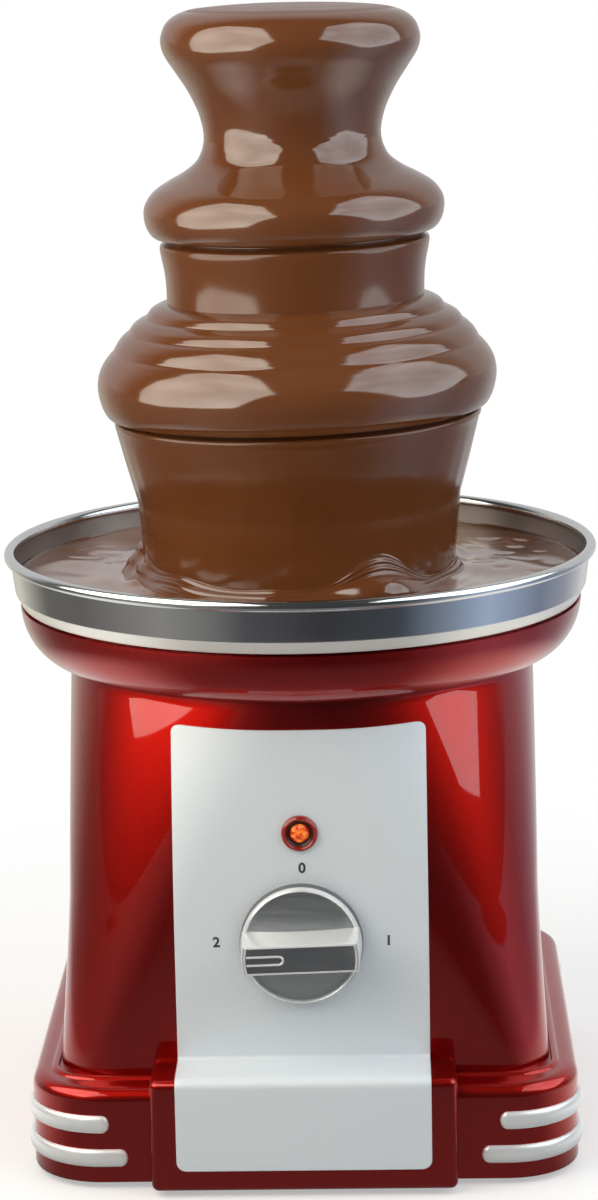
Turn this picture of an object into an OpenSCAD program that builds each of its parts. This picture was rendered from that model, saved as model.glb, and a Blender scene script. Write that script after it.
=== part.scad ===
// Table-top chocolate fountain, shown running. A square base and a lofted housing carry a
// round steel bowl. A geared motor turns a screw inside the tower, which lifts the
// chocolate to the crown, and it falls over two tiers back into the bowl.
// The front is -Y and up is +Z. The tower's axis is the Z axis, and the feet stand on z = 0.

/* [Base] */
// Width and depth of the square base housing
base_w = 180; // [172:1:194]
// Radius of the base's upright corners
base_r = 24; // [20:1:30]
// Height of the base housing above its feet
base_h = 32; // [28:1:40]
// Wall thickness of the moulded housings
wall = 2.5; // [2:0.1:3]
// Height of the rubber feet
foot_h = 2; // [1.5:0.5:4]
// Radius of the rubber feet
foot_r = 8; // [6:0.5:10]
// Distance of the feet from the base's sides
foot_inset = 36; // [32:1:44]
// Width of the box on the front of the base
box_w = 99; // [92:1:106]
// How far the front box stands out of the base
box_out = 9; // [6:0.5:14]
// How far the front box rises above the base
box_rise = 5.5; // [4:0.5:9]
// Height of one bead strip on a corner
band_h = 6; // [4:0.5:7]
// How far a bead strip stands out
band_out = 1.5; // [1:0.1:2]
// Height of the upper strip's middle above the base's lower edge
upper_band_z = 20.2; // [18:0.1:22]
// Height of the lower strip's middle above the base's lower edge
lower_band_z = 8.7; // [7:0.1:10]
// How far the upper strip runs past the corner's curve
upper_band_run = 2.6; // [2:0.1:8]
// How far the lower strip runs past the corner's curve
lower_band_run = 8.5; // [2:0.1:14]

/* [Housing] */
// Width across the housing's flat sides where it meets the base
body_w = 156; // [152:1:160]
// Corner radius of the housing where it meets the base
body_r = 19; // [14:1:26]
// Outer radius of the housing's round top
body_top_r = 78.5; // [77:0.5:81]
// Height of the housing between the base and the collar
body_h = 126; // [118:1:136]
// Thickness of the flanges inside the housing's ends
flange_t = 3; // [2.5:0.1:4]

/* [Panel] */
// Width of the control panel
panel_w = 82.4; // [74:0.2:88]
// Height of the panel's top edge above the base
panel_h = 116.5; // [110:0.5:117]
// Thickness of the panel
panel_t = 1; // [0.8:0.1:1.2]
// Height of the panel's lower edge above the base's lower edge
panel_low = 7.5; // [5:0.5:12]
// Height of the knob's axis above the base
knob_z = 46; // [42:0.5:50]
// Radius of the knob's skirt
knob_r = 20; // [16:0.5:22]
// Height of the knob from the panel to the front of its grip
knob_h = 19; // [16:0.5:20]
// Thickness of the knob's grip bar
grip_w = 8.4; // [7:0.2:11]
// Height of the lamp's axis above the base
lamp_z = 82.5; // [78:0.5:90]
// Radius of the lamp's bezel
lamp_r = 6; // [5.5:0.1:7]

/* [Bowl] */
// Outer radius of the bowl at its rolled rim
bowl_r = 100; // [98:0.5:104]
// Height of the bowl's rim above the collar
bowl_rise = 16; // [14:0.5:20]
// Depth of the bowl's floor below the collar's top
bowl_sink = 11; // [9.5:0.5:12]
// Thickness of the bowl's sheet steel
sheet = 1.2; // [0.8:0.1:1.4]
// Radius of the rolled rim's own section
roll_r = 1.8; // [1.4:0.1:2.4]
// Height of the collar between the housing and the bowl
collar_h = 19; // [18:0.5:22]
// How far the chocolate stands below the rim's middle
pool_drop = 7.5; // [6:0.5:9]

/* [Tower] */
// Outer radius of the tower's tube
tube_r = 22; // [20:0.5:23]
// Thickness of the tube and the tiers
tower_t = 1.6; // [1.2:0.1:2]
// Thickness of the chocolate's coat and curtains
coat = 2; // [1.6:0.1:2.4]
// Largest radius of the lower tier, with its chocolate
lower_r = 66.8; // [62:0.2:70]
// Height of the lower tier's widest ring above the bowl's rim
lower_rise = 57.5; // [52:0.5:64]
// Largest radius of the middle tier, with its chocolate
middle_r = 50; // [47:0.5:54]
// Height of the middle tier's widest ring above the lower tier's
middle_rise = 57; // [52:0.5:62]
// Radius of the neck between the middle tier and the crown
neck_r = 29.6; // [28:0.2:32]
// Largest radius of the crown, with its chocolate
crown_r = 42.8; // [39:0.2:46]
// Height of the crown's widest ring above the middle tier's
crown_rise = 54.5; // [50:0.5:60]
// Height of the crown's top above its widest ring
crown_top_h = 12.5; // [10:0.5:15]
// Radius of the curtain where it meets the pool
foot_curtain_r = 52.4; // [48:0.2:56]

/* [Drive] */
// Pitch of the screw
screw_pitch = 30; // [26:1:36]
// Thickness of the screw's flight along the axis
flight_t = 3.5; // [3:0.1:5]
// Radius of the screw's core
core_r = 6; // [5.6:0.1:7]
// Width of the coupler's square peg
peg_w = 5; // [4:0.2:6]
// Radius of the drive shaft
shaft_r = 3; // [2.5:0.1:3.4]
// Gear module
gear_m = 1; // [0.9:0.02:1.04]
// Teeth on the two pinions
pinion_teeth = 12; // [12:1:14]
// Teeth on the two large gears
wheel_teeth = 48; // [44:4:48]
// Radius of the motor can
motor_r = 26; // [24:0.5:28]
// Height of the motor can
motor_h = 22; // [20:1:28]
// Radius of the heating element's ring
element_r = 42; // [40:0.5:46]
// Radius of the heating element's tube
element_tube_r = 3.4; // [3:0.1:3.8]

/* [Fits] */
// Radial clearance of turning shafts in their bushes
running = 0.05; // [0.03:0.01:0.1]
// Radial clearance of pieces that are pushed onto a shaft
push_fit = 0.02; // [0.01:0.01:0.05]
// Gap between the chocolate and what it flows over
film_gap = 0.15; // [0.1:0.05:0.3]
// Gap between moulded pieces that lie side by side
seat_gap = 0.3; // [0.2:0.05:0.4]
// Radial clearance of screws in their holes
screw_gap = 0.15; // [0.1:0.05:0.25]
// Gap that lets a turning piece pass a fixed one
turn_gap = 0.8; // [0.6:0.1:1.2]
// Tooth play between meshed gears
tooth_play = 0.16; // [0.1:0.02:0.24]

/* [Hidden] */
$fn = 96;

// Levels, from the table up
base_z = foot_h;
ledge_z = base_z + base_h;
box_top = ledge_z + box_rise;
collar_z = ledge_z + body_h;
seam_z = collar_z + collar_h;
rim_z = seam_z + bowl_rise;
floor_z = seam_z - bowl_sink;
under_z = floor_z - sheet;
pool_z = rim_z - pool_drop;
lower_z = rim_z + lower_rise;
middle_z = lower_z + middle_rise;
crown_z = middle_z + crown_rise;

// Faces at the front, measured along Y
box_front = base_w / 2 + box_out;
body_front = body_w / 2;

// Loft of the housing
corner_steps = 8;
band_steps = 6;
loft_fn = 64;
land = 1;

// Small fasteners
screw_r = 1.6;
head_r = 3.2;
head_h = 2;
boss_r = 5;
boss_count = 4;
flange_screw_inset = 18;
boss_bite = 12;
cover_t = 2.5;
chassis_t = 2;
stud_r = 2;
stud_count = 3;
chassis_screw_count = 4;
nut_r = 4;
nut_h = 3;

// Collar and bowl section
rim_over = 5;
seam_r = bowl_r - rim_over;
seat_w = 2.4;
collar_draw = 7;
collar_edge_r = seam_r - collar_draw;
collar_edge_h = 3.5;
collar_edge_z = collar_z + collar_edge_h;
web_t = 2.5;
flange_w = 12.5;
opening_r = body_top_r - flange_w;
bowl_draft = 9;
bowl_floor_r = seam_r - bowl_draft;
rim_flare = 3.5;
bowl_wall_r = bowl_r - rim_flare;
chamfer_h = 2.5;
seal_r = 7;
seal_lip = 2;
seal_lip_h = 2;

// Tower levels
lower_shoulder = 27;
lower_lip = 11.5;
lower_top_z = lower_z + lower_shoulder;
lower_lip_z = lower_z - lower_lip;
landing_in = 7;
shoulder_r = middle_r - landing_in;
cone_in = 7.3;
cone_r = lower_r - cone_in;
cone_h = 13.8;
cone_z = lower_z + cone_h;
bulge_rx = 14.8;
middle_shoulder = 21.5;
middle_lip = 10;
neck_z = middle_z + middle_shoulder;
middle_lip_z = middle_z - middle_lip;
upper_curtain_in = 4.8;
upper_curtain_r = middle_r - upper_curtain_in;
lower_curtain_in = 5.2;
lower_curtain_r = lower_r - lower_curtain_in;
neck_h = 3;
crown_neck_z = neck_z + neck_h;
crown_top_z = crown_z + crown_top_h;
crown_round = 18.8;
crown_flat_r = crown_r - crown_round;
crown_rim_h = 3;
crown_rim_z = crown_z + crown_rim_h;
hub_t = 2;
arc_steps = 8;
lip_lead = 15;
tier_edge_h = 5;
coat_shift = 0.75 * coat;
tube_over = 4;
tube_top_z = crown_neck_z + tube_over;
tube_flange_w = 8;
tube_flange_r = tube_r + tube_flange_w;
tube_flange_t = 2;
tube_ring_w = 1.5;
inlet_w = 14;
inlet_h = 10;

// Heating element, open towards the back
element_start = 120;
element_sweep = 300;

// Drive levels, from the chassis plate down
chassis_top = collar_z - flange_t;
chassis_low = chassis_top - chassis_t;
chassis_gap = 2;
chassis_r = body_top_r - wall - chassis_gap;
chassis_screw_r = (opening_r + chassis_r) / 2;
stud_out = 18;
stud_ring_r = element_r + stud_out;
wheel_t = 6;
small_wheel_t = 4;
gear_gap = 1.5;
pinion_over = 1;
output_z = chassis_low - gear_gap - wheel_t;
idler_pinion_low = output_z - pinion_over;
idler_wheel_z = idler_pinion_low - small_wheel_t;
plate_top = idler_wheel_z - gear_gap - pinion_over;
plate_t = 2;
plate_low = plate_top - plate_t;
can_low = plate_low - motor_h;
can_t = 1.2;
coil_r = motor_r - can_t - turn_gap;
coil_w = 10;
coil_inner_r = motor_r - coil_w;
coil_room = 8;
coil_h = motor_h - coil_room;
rotor_r = coil_inner_r - turn_gap;
rotor_shaft_r = 2;
pin_r = 2;
bush_t = 2;
bush_over = 1.5;
rotor_gap = 2.5;
rotor_short = 1;
rotor_low = can_low + can_t + rotor_gap;
rotor_h = coil_h - rotor_short;
idler_hub_r = 4;
end_play = 0.3;

// Gear centres
gear_centres = gear_m * (pinion_teeth + wheel_teeth) / 2;
idler_x = gear_centres;
rotor_angle = 120;
rotor_x = idler_x + gear_centres * cos(rotor_angle);
rotor_y = gear_centres * sin(rotor_angle);
plate_x = idler_x / 2;
plate_y = 8;
plate_margin = 20;
plate_r = gear_centres + plate_margin;
pillar_r = 3;
pillar_count = 3;
pillar_inset = 6;
pillar_ring_r = plate_r - pillar_inset;
pressure_angle = 25;
addendum = 0.8;
dedendum = 1.1;
flank_steps = 3;
root_ease = 0.5;

// Coupler and screw
coupler_wall = 2;
coupler_r = core_r + coupler_wall;
coupler_low = floor_z + seal_lip_h + turn_gap;
coupler_h = 10;
screw_low = coupler_low + coupler_h;
peg_h = 10;
peg_gap = 0.1;
shaft_short = 1.5;
shaft_top = screw_low - shaft_short;
screw_drop = 2;
screw_top = crown_z - screw_drop;
screw_r_out = tube_r - tower_t - turn_gap;
screw_steps = 20;
core_steps = 10;
flight_steps = 4;

// Switch, spindle and lamp
panel_gap = 0.1;
panel_face = panel_gap + panel_t;
spindle_r = 3;
spindle_in = 14;
neck_outer_r = 4.7;
switch_w = 28;
switch_d = 18;
switch_nut_r = 6.5;
switch_nut_h = 2.2;
switch_back = wall + seat_gap;
thread_over = 0.6;
knob_lift = 0.8;
knob_skirt_h = 2.6;
knob_face_h = 6.2;
knob_taper = 1.6;
knob_face_r = knob_r - knob_taper;
knob_dish = 1.1;
knob_hollow_r = 9;
knob_hollow_h = 3;
knob_bore_end = 4;
pointer_l = 13;
pointer_w = 2.4;
pointer_d = 0.5;
lamp_lip = 1.4;
lamp_barrel_r = lamp_r - lamp_lip;
lamp_barrel_t = 0.9;
lamp_barrel_l = 20;
lamp_flange_t = 1.6;
lamp_taper = 0.8;
lens_r = lamp_barrel_r - lamp_barrel_t - push_fit;
bulb_r = 2;
bulb_l = 9;
bulb_base_l = 6;
lens_in = 4;
lens_dome = 1.6;
thermostat_x = 24;
thermostat_r = 8;
thermostat_h = 7;
fuse_r = 2.2;
fuse_l = 20;

// Rear gland
gland_x = 45;
gland_r = 5.5;
gland_bore_r = 3.6;
gland_flange_r = 8;
gland_flange_t = 2.5;
gland_in = 6;
gland_z = base_z + base_h / 2;

// Points of a quarter or other stretch of an ellipse
function arc(cx, cy, rx, ry, from, to, steps) =
    [for (i = [0 : steps]) let (a = from + (to - from) * i / steps) [cx + rx * cos(a), cy + ry * sin(a)]];

// Smooth step between two values
function ease(t) = t * t * (3 - 2 * t);

// Points of a flare that leaves and arrives upright
function flare(r0, z0, r1, z1, steps) =
    [for (i = [0 : steps]) [r0 + (r1 - r0) * ease(i / steps), z0 + (z1 - z0) * i / steps]];

// A line of points moved by a distance in both directions
function shifted(points, dr, dz) = [for (p = points) [p[0] + dr, p[1] + dz]];
function reversed(points) = [for (i = [len(points) - 1 : -1 : 0]) points[i]];

// Outline of a square with round corners
function rounded(w, r) = let (c = w / 2 - r) concat(
    arc(c, c, r, r, 0, 90, corner_steps),
    arc(-c, c, r, r, 90, 180, corner_steps),
    arc(-c, -c, r, r, 180, 270, corner_steps),
    arc(c, -c, r, r, 270, 360, corner_steps));

// Half of a tooth's angle at a radius, from the involute of its base circle
function involute(a) = tan(a) * 180 / PI - a;
function half_tooth(r, pitch_r, inner_r, teeth) =
    90 / teeth - tooth_play / pitch_r * 45 / PI
    + involute(pressure_angle) - involute(acos(min(1, inner_r / r)));
function polar(r, a) = [r * cos(a), r * sin(a)];
function gear_points(teeth) =
    let (pitch_r = gear_m * teeth / 2)
    let (inner_r = pitch_r * cos(pressure_angle))
    let (root_r = pitch_r - dedendum * gear_m)
    let (tip_r = pitch_r + addendum * gear_m)
    let (start_r = max(inner_r, root_r))
    let (flank = [for (k = [0 : flank_steps]) start_r + (tip_r - start_r) * k / flank_steps])
    let (rise = [for (r = flank) [r, half_tooth(r, pitch_r, inner_r, teeth)]])
    [for (i = [0 : teeth - 1]) let (a = 360 * i / teeth) each concat(
        [polar(root_r, a - rise[0][1] - root_ease)],
        [for (f = rise) polar(f[0], a - f[1])],
        [for (f = reversed(rise)) polar(f[0], a + f[1])],
        [polar(root_r, a + rise[0][1] + root_ease)])];

module gear(teeth, thickness, turn) {
    rotate([0, 0, turn])
        linear_extrude(thickness)
            polygon(gear_points(teeth));
}

module ring(r_out, r_in, z, h) {
    translate([0, 0, z])
        difference() {
            cylinder(h = h, r = r_out);
            translate([0, 0, -1])
                cylinder(h = h + 2, r = r_in);
        }
}

// Copies at the four corners of a square
module at_corners(d) {
    for (x = [-d, d], y = [-d, d])
        translate([x, y, 0])
            children();
}

// Copies on a circle
module on_circle(r, count, first) {
    for (i = [0 : count - 1])
        rotate([0, 0, first + 360 * i / count])
            translate([r, 0, 0])
                children();
}

// Distance of the housing's front from the axis, at a height above the base
front_slope = (body_top_r - body_front) / (body_h - 2 * land);
function front_at(z) = body_front + front_slope * (z - land);

// A piece that points squarely out of the front, with its foot on the housing's front
module facing_front(z) {
    translate([0, -front_at(z), ledge_z + z])
        rotate([90 + atan(front_slope), 0, 0])
            children();
}

// Outer form of the upper housing, grown by a distance on every side
module housing_form(grow) {
    hull() {
        translate([0, 0, ledge_z])
            linear_extrude(land)
                polygon(rounded(body_w + 2 * grow, body_r + grow));
        translate([0, 0, collar_z - land])
            cylinder(h = land, r = body_top_r + grow, $fn = loft_fn);
    }
}

// Base

boss_ring_r = (opening_r + base_w / 2 - wall) / 2;
flange_screw_d = body_w / 2 - flange_screw_inset;
foot_d = base_w / 2 - foot_inset;

module base_housing() {
    color("firebrick")
        difference() {
            union() {
                difference() {
                    union() {
                        translate([0, 0, base_z])
                            linear_extrude(base_h)
                                polygon(rounded(base_w, base_r));
                        translate([-box_w / 2, -box_front, base_z])
                            cube([box_w, box_front - body_front - seat_gap, base_h + box_rise]);
                    }
                    translate([0, 0, base_z - 1])
                        linear_extrude(base_h - wall + 1)
                            polygon(rounded(base_w - 2 * wall, base_r - wall));
                    translate([-box_w / 2 + wall, -box_front + wall, base_z - 1])
                        cube([box_w - 2 * wall, box_front - body_front - seat_gap - 2 * wall,
                            base_h + box_rise - wall + 1]);
                }
                on_circle(boss_ring_r, boss_count, 0)
                    translate([0, 0, base_z + cover_t])
                        cylinder(h = base_h - wall - cover_t + 1, r = boss_r);
            }
            translate([0, 0, ledge_z - wall - 1])
                cylinder(h = wall + 2, r = opening_r);
            on_circle(boss_ring_r, boss_count, 0)
                translate([0, 0, base_z + cover_t - 1])
                    cylinder(h = boss_bite + 1, r = screw_r + screw_gap);
            at_corners(flange_screw_d)
                translate([0, 0, ledge_z - wall - 1])
                    cylinder(h = wall + 2, r = screw_r + screw_gap);
            translate([gland_x, base_w / 2 + 1, gland_z])
                rotate([90, 0, 0])
                    cylinder(h = wall + 2, r = gland_r + push_fit);
        }
}

module bottom_cover() {
    color("dimgray")
        translate([0, 0, base_z])
            difference() {
                union() {
                    linear_extrude(cover_t)
                        polygon(rounded(base_w - 2 * wall - 2 * seat_gap, base_r - wall - seat_gap));
                    translate([-box_w / 2 + wall + seat_gap, -box_front + wall + seat_gap, 0])
                        cube([box_w - 2 * wall - 2 * seat_gap, box_out + wall, cover_t]);
                }
                on_circle(boss_ring_r, boss_count, 0)
                    translate([0, 0, -1])
                        cylinder(h = cover_t + 2, r = screw_r + screw_gap);
                on_circle(boss_ring_r, boss_count, 0)
                    translate([0, 0, -1])
                        cylinder(h = head_h + 1, r = head_r + screw_gap);
            }
}

module feet() {
    color("black")
        at_corners(foot_d)
            cylinder(h = foot_h, r = foot_r);
}

module cover_screws() {
    color("silver")
        on_circle(boss_ring_r, boss_count, 0)
            translate([0, 0, base_z])
                union() {
                    cylinder(h = head_h, r = head_r);
                    cylinder(h = cover_t + boss_bite - 1, r = screw_r);
                }
}

module cord_gland() {
    color("black")
        translate([gland_x, base_w / 2 + gland_flange_t, gland_z])
            rotate([90, 0, 0])
                difference() {
                    union() {
                        cylinder(h = gland_flange_t, r = gland_flange_r);
                        cylinder(h = gland_flange_t + wall + gland_in, r = gland_r);
                    }
                    translate([0, 0, -1])
                        cylinder(h = gland_flange_t + wall + gland_in + 2, r = gland_bore_r);
                }
}

// One strip round a corner, with a straight run past each end of the curve
module corner_band(run) {
    section = arc(0, 0, band_out, band_h / 2, -90, 90, band_steps);
    union() {
        rotate_extrude(angle = 90)
            polygon([for (p = section) [base_r + p[0], p[1]]]);
        translate([base_r, 0, 0])
            rotate([90, 0, 0])
                linear_extrude(run)
                    polygon(section);
        translate([0, base_r, 0])
            rotate([90, 0, -90])
                linear_extrude(run)
                    polygon([for (p = section) [-p[0], p[1]]]);
    }
}

module band_set(z, run) {
    color("silver")
        for (i = [0 : 3])
            rotate([0, 0, 90 * i])
                translate([base_w / 2 - base_r, base_w / 2 - base_r, base_z + z])
                    corner_band(run);
}

module upper_bands() {
    band_set(upper_band_z, upper_band_run);
}

module lower_bands() {
    band_set(lower_band_z, lower_band_run);
}

// Upper housing and panel

module upper_housing() {
    color("firebrick")
        difference() {
            housing_form(0);
            intersection() {
                housing_form(-wall);
                translate([-body_w, -body_w, ledge_z + flange_t])
                    cube([2 * body_w, 2 * body_w, body_h - 2 * flange_t]);
            }
            translate([0, 0, ledge_z - 1])
                cylinder(h = body_h + 2, r = opening_r);
            facing_front(knob_z)
                translate([0, 0, -2 * wall])
                    cylinder(h = 4 * wall, r = neck_outer_r + seat_gap);
            facing_front(lamp_z)
                translate([0, 0, -2 * wall])
                    cylinder(h = 4 * wall, r = lamp_barrel_r + seat_gap);
            at_corners(flange_screw_d)
                translate([0, 0, ledge_z - 1])
                    cylinder(h = flange_t + 2, r = screw_r + screw_gap);
            on_circle(chassis_screw_r, chassis_screw_count, 45)
                translate([0, 0, chassis_top - 1])
                    cylinder(h = flange_t + 2, r = screw_r + screw_gap);
        }
}

module housing_screws() {
    color("silver")
        at_corners(flange_screw_d)
            translate([0, 0, ledge_z - wall])
                union() {
                    translate([0, 0, -head_h])
                        cylinder(h = head_h, r = head_r);
                    translate([0, 0, -1])
                        cylinder(h = wall + flange_t + 1, r = screw_r);
                }
}

module control_panel() {
    color("lightgray")
        difference() {
            union() {
                intersection() {
                    difference() {
                        housing_form(panel_gap + panel_t);
                        housing_form(panel_gap);
                    }
                    translate([-panel_w / 2, -body_w, box_top])
                        cube([panel_w, body_w, panel_h - box_rise]);
                }
                translate([-panel_w / 2, -box_front - panel_t, box_top])
                    cube([panel_w, box_front - body_front - panel_gap + panel_t / 2, panel_t]);
                translate([-panel_w / 2, -box_front - panel_t, base_z + panel_low])
                    cube([panel_w, panel_t, base_h + box_rise - panel_low + panel_t / 2]);
            }
            facing_front(knob_z)
                translate([0, 0, -wall])
                    cylinder(h = 3 * wall, r = neck_outer_r + seat_gap);
            facing_front(lamp_z)
                translate([0, 0, -wall])
                    cylinder(h = 3 * wall, r = lamp_barrel_r + seat_gap);
        }
}

// Lamp, switch and knob

module lamp_bezel() {
    color("darkred")
        facing_front(lamp_z)
            difference() {
                union() {
                    translate([0, 0, panel_face])
                        cylinder(h = lamp_flange_t, r1 = lamp_r, r2 = lamp_r - lamp_taper);
                    translate([0, 0, panel_face - lamp_barrel_l])
                        cylinder(h = lamp_barrel_l + 1, r = lamp_barrel_r);
                }
                translate([0, 0, panel_face - lamp_barrel_l - 1])
                    cylinder(h = lamp_barrel_l + lamp_flange_t + 2, r = lens_r + push_fit);
            }
}

module lamp_lens() {
    color("orangered")
        facing_front(lamp_z)
            translate([0, 0, panel_face])
                rotate_extrude()
                    polygon(concat([[0, -lens_in], [lens_r, -lens_in]],
                        arc(0, lamp_flange_t, lens_r, lens_dome, 0, 90, arc_steps)));
}

module lamp_bulb() {
    color("orange")
        facing_front(lamp_z)
            translate([0, 0, panel_face - lamp_barrel_l])
                union() {
                    cylinder(h = bulb_base_l, r = lens_r);
                    cylinder(h = bulb_base_l + bulb_l, r = bulb_r);
                }
}

module switch_body() {
    color("ivory")
        facing_front(knob_z)
            difference() {
                union() {
                    translate([-switch_w / 2, -switch_w / 2, -switch_back - switch_d])
                        cube([switch_w, switch_w, switch_d]);
                    translate([0, 0, -switch_back - 1])
                        cylinder(h = switch_back + panel_face + switch_nut_h + thread_over + 1,
                            r = neck_outer_r);
                }
                translate([0, 0, -switch_back - spindle_in - end_play])
                    cylinder(h = switch_back + spindle_in + end_play + knob_h, r = spindle_r + running);
            }
}

module switch_nut() {
    color("silver")
        facing_front(knob_z)
            translate([0, 0, panel_face])
                difference() {
                    cylinder(h = switch_nut_h, r = switch_nut_r, $fn = 6);
                    translate([0, 0, -1])
                        cylinder(h = switch_nut_h + 2, r = neck_outer_r + push_fit);
                }
}

module switch_spindle() {
    color("gray")
        facing_front(knob_z)
            translate([0, 0, -switch_back - spindle_in])
                cylinder(h = switch_back + spindle_in + panel_face + knob_h - knob_bore_end, r = spindle_r);
}

module control_knob() {
    color("silver")
        facing_front(knob_z)
            translate([0, 0, panel_face])
                difference() {
                    union() {
                        difference() {
                            union() {
                                translate([0, 0, knob_lift])
                                    cylinder(h = knob_skirt_h, r = knob_r);
                                translate([0, 0, knob_lift + knob_skirt_h])
                                    cylinder(h = knob_face_h - knob_lift - knob_skirt_h,
                                        r1 = knob_r, r2 = knob_face_r);
                            }
                            translate([0, 0, knob_face_h - knob_dish])
                                cylinder(h = knob_dish + 1, r = knob_face_r - knob_dish);
                        }
                        intersection() {
                            translate([-knob_r, -grip_w / 2, knob_lift])
                                cube([2 * knob_r, grip_w, knob_h - knob_lift]);
                            translate([0, 0, knob_lift])
                                cylinder(h = knob_h, r = knob_face_r - push_fit);
                        }
                    }
                    translate([0, 0, knob_lift - 1])
                        cylinder(h = knob_hollow_h + 1, r = knob_hollow_r);
                    cylinder(h = knob_h - knob_bore_end + end_play, r = spindle_r + push_fit);
                    translate([-knob_r, -pointer_w / 2, knob_h - pointer_d])
                        cube([knob_r - knob_face_r + pointer_l, pointer_w, pointer_d + 1]);
                }
}

// Collar, bowl and heater

collar_sweep = 77;
collar_lead = 8;
collar_bulge = 9;
collar_under = 6;

module bowl_collar() {
    bulge_h = (seam_z - collar_edge_z) / sin(collar_sweep);
    color("firebrick")
        difference() {
            rotate_extrude()
                polygon(concat(
                    [[opening_r, collar_z + web_t], [opening_r, collar_z]],
                    arc(collar_edge_r - collar_under, collar_edge_z, collar_under,
                        collar_edge_z - collar_z, -90, 0, arc_steps / 2),
                    arc(seam_r - collar_bulge, seam_z, collar_bulge, bulge_h,
                        collar_lead - collar_sweep, 0, arc_steps),
                    arc(seam_r - collar_bulge, seam_z, collar_bulge - seat_w, bulge_h - seat_w,
                        0, -collar_sweep, arc_steps),
                    [[collar_edge_r - collar_under, collar_z + web_t]]));
            on_circle(chassis_screw_r, chassis_screw_count, 45)
                translate([0, 0, collar_z - 1])
                    cylinder(h = web_t + 2, r = screw_r + screw_gap);
        }
}

// Inner line of the bowl, from its floor to its rim
bowl_inside = [[bowl_floor_r - sheet / 2, floor_z],
    [seam_r - seat_w - seat_gap - sheet / 2, seam_z + sheet],
    [seam_r - sheet / 2, seam_z + sheet],
    [bowl_wall_r - sheet, seam_z + chamfer_h + sheet / 2],
    [bowl_r - roll_r - sheet, rim_z]];

module bowl() {
    color("lightsteelblue")
        rotate_extrude()
            union() {
                polygon(concat(
                    [[seal_r, floor_z], [seal_r, under_z], [bowl_floor_r, under_z],
                    [seam_r - seat_w - seat_gap, seam_z], [seam_r, seam_z],
                    [bowl_wall_r, seam_z + chamfer_h], [bowl_r - roll_r, rim_z]],
                    reversed(bowl_inside)));
                translate([bowl_r - roll_r, rim_z])
                    circle(r = roll_r);
            }
}

module bowl_studs() {
    color("silver")
        on_circle(stud_ring_r, stud_count, 90)
            translate([0, 0, chassis_low - nut_h - 1])
                cylinder(h = under_z - chassis_low + nut_h + 1, r = stud_r);
}

module bowl_nuts() {
    color("silver")
        on_circle(stud_ring_r, stud_count, 90)
            translate([0, 0, chassis_low - nut_h])
                difference() {
                    cylinder(h = nut_h, r = nut_r, $fn = 6);
                    translate([0, 0, -1])
                        cylinder(h = nut_h + 2, r = stud_r + push_fit);
                }
}

module heating_element() {
    color("dimgray")
        translate([0, 0, under_z - film_gap - element_tube_r])
            rotate([0, 0, element_start])
                rotate_extrude(angle = element_sweep)
                    translate([element_r, 0])
                        circle(r = element_tube_r);
}

module thermostat() {
    color("ivory")
        translate([-thermostat_x, 0, under_z - thermostat_h])
            cylinder(h = thermostat_h, r = thermostat_r);
}

module thermal_fuse() {
    color("white")
        translate([thermostat_x, fuse_l / 2, under_z - film_gap - fuse_r])
            rotate([90, 0, 0])
                cylinder(h = fuse_l, r = fuse_r);
}

// Chassis, motor and gears

module chassis_plate() {
    color("slategray")
        difference() {
            translate([0, 0, chassis_low])
                cylinder(h = chassis_t, r = chassis_r);
            translate([0, 0, chassis_low - 1]) {
                cylinder(h = chassis_t + 2, r = shaft_r + bush_t + push_fit);
                translate([idler_x, 0, 0])
                    cylinder(h = chassis_t + 2, r = pin_r + push_fit);
                on_circle(chassis_screw_r, chassis_screw_count, 45)
                    cylinder(h = chassis_t + 2, r = screw_r + screw_gap);
                on_circle(stud_ring_r, stud_count, 90)
                    cylinder(h = chassis_t + 2, r = stud_r + screw_gap);
            }
        }
}

module chassis_screws() {
    color("silver")
        on_circle(chassis_screw_r, chassis_screw_count, 45)
            translate([0, 0, chassis_low])
                union() {
                    translate([0, 0, -head_h])
                        cylinder(h = head_h, r = head_r);
                    translate([0, 0, -1])
                        cylinder(h = 1 + chassis_t + flange_t + web_t, r = screw_r);
                }
}

module plate_pillars() {
    color("silver")
        translate([plate_x, plate_y, plate_top])
            on_circle(pillar_ring_r, pillar_count, 30)
                cylinder(h = chassis_low - plate_top, r = pillar_r);
}

module motor_plate() {
    color("slategray")
        difference() {
            translate([plate_x, plate_y, plate_low])
                cylinder(h = plate_t, r = plate_r);
            translate([0, 0, plate_low - 1]) {
                cylinder(h = plate_t + 2, r = shaft_r + bush_t + push_fit);
                translate([idler_x, 0, 0])
                    cylinder(h = plate_t + 2, r = pin_r + push_fit);
                translate([rotor_x, rotor_y, 0])
                    cylinder(h = plate_t + 2, r = rotor_shaft_r + bush_t + push_fit);
            }
        }
}

module motor_can() {
    color("silver")
        translate([rotor_x, rotor_y, can_low])
            difference() {
                cylinder(h = motor_h, r = motor_r);
                translate([0, 0, can_t])
                    cylinder(h = motor_h, r = motor_r - can_t);
                translate([0, 0, -1])
                    cylinder(h = can_t + 2, r = rotor_shaft_r + bush_t + push_fit);
            }
}

module motor_coil() {
    color("peru")
        translate([rotor_x, rotor_y, 0])
            ring(coil_r, coil_inner_r, can_low + can_t, coil_h);
}

module rotor() {
    color("gray")
        translate([rotor_x, rotor_y, 0])
            union() {
                translate([0, 0, rotor_low])
                    cylinder(h = rotor_h, r = rotor_r);
                translate([0, 0, can_low])
                    cylinder(h = idler_pinion_low - can_low, r = rotor_shaft_r);
            }
}

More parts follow.
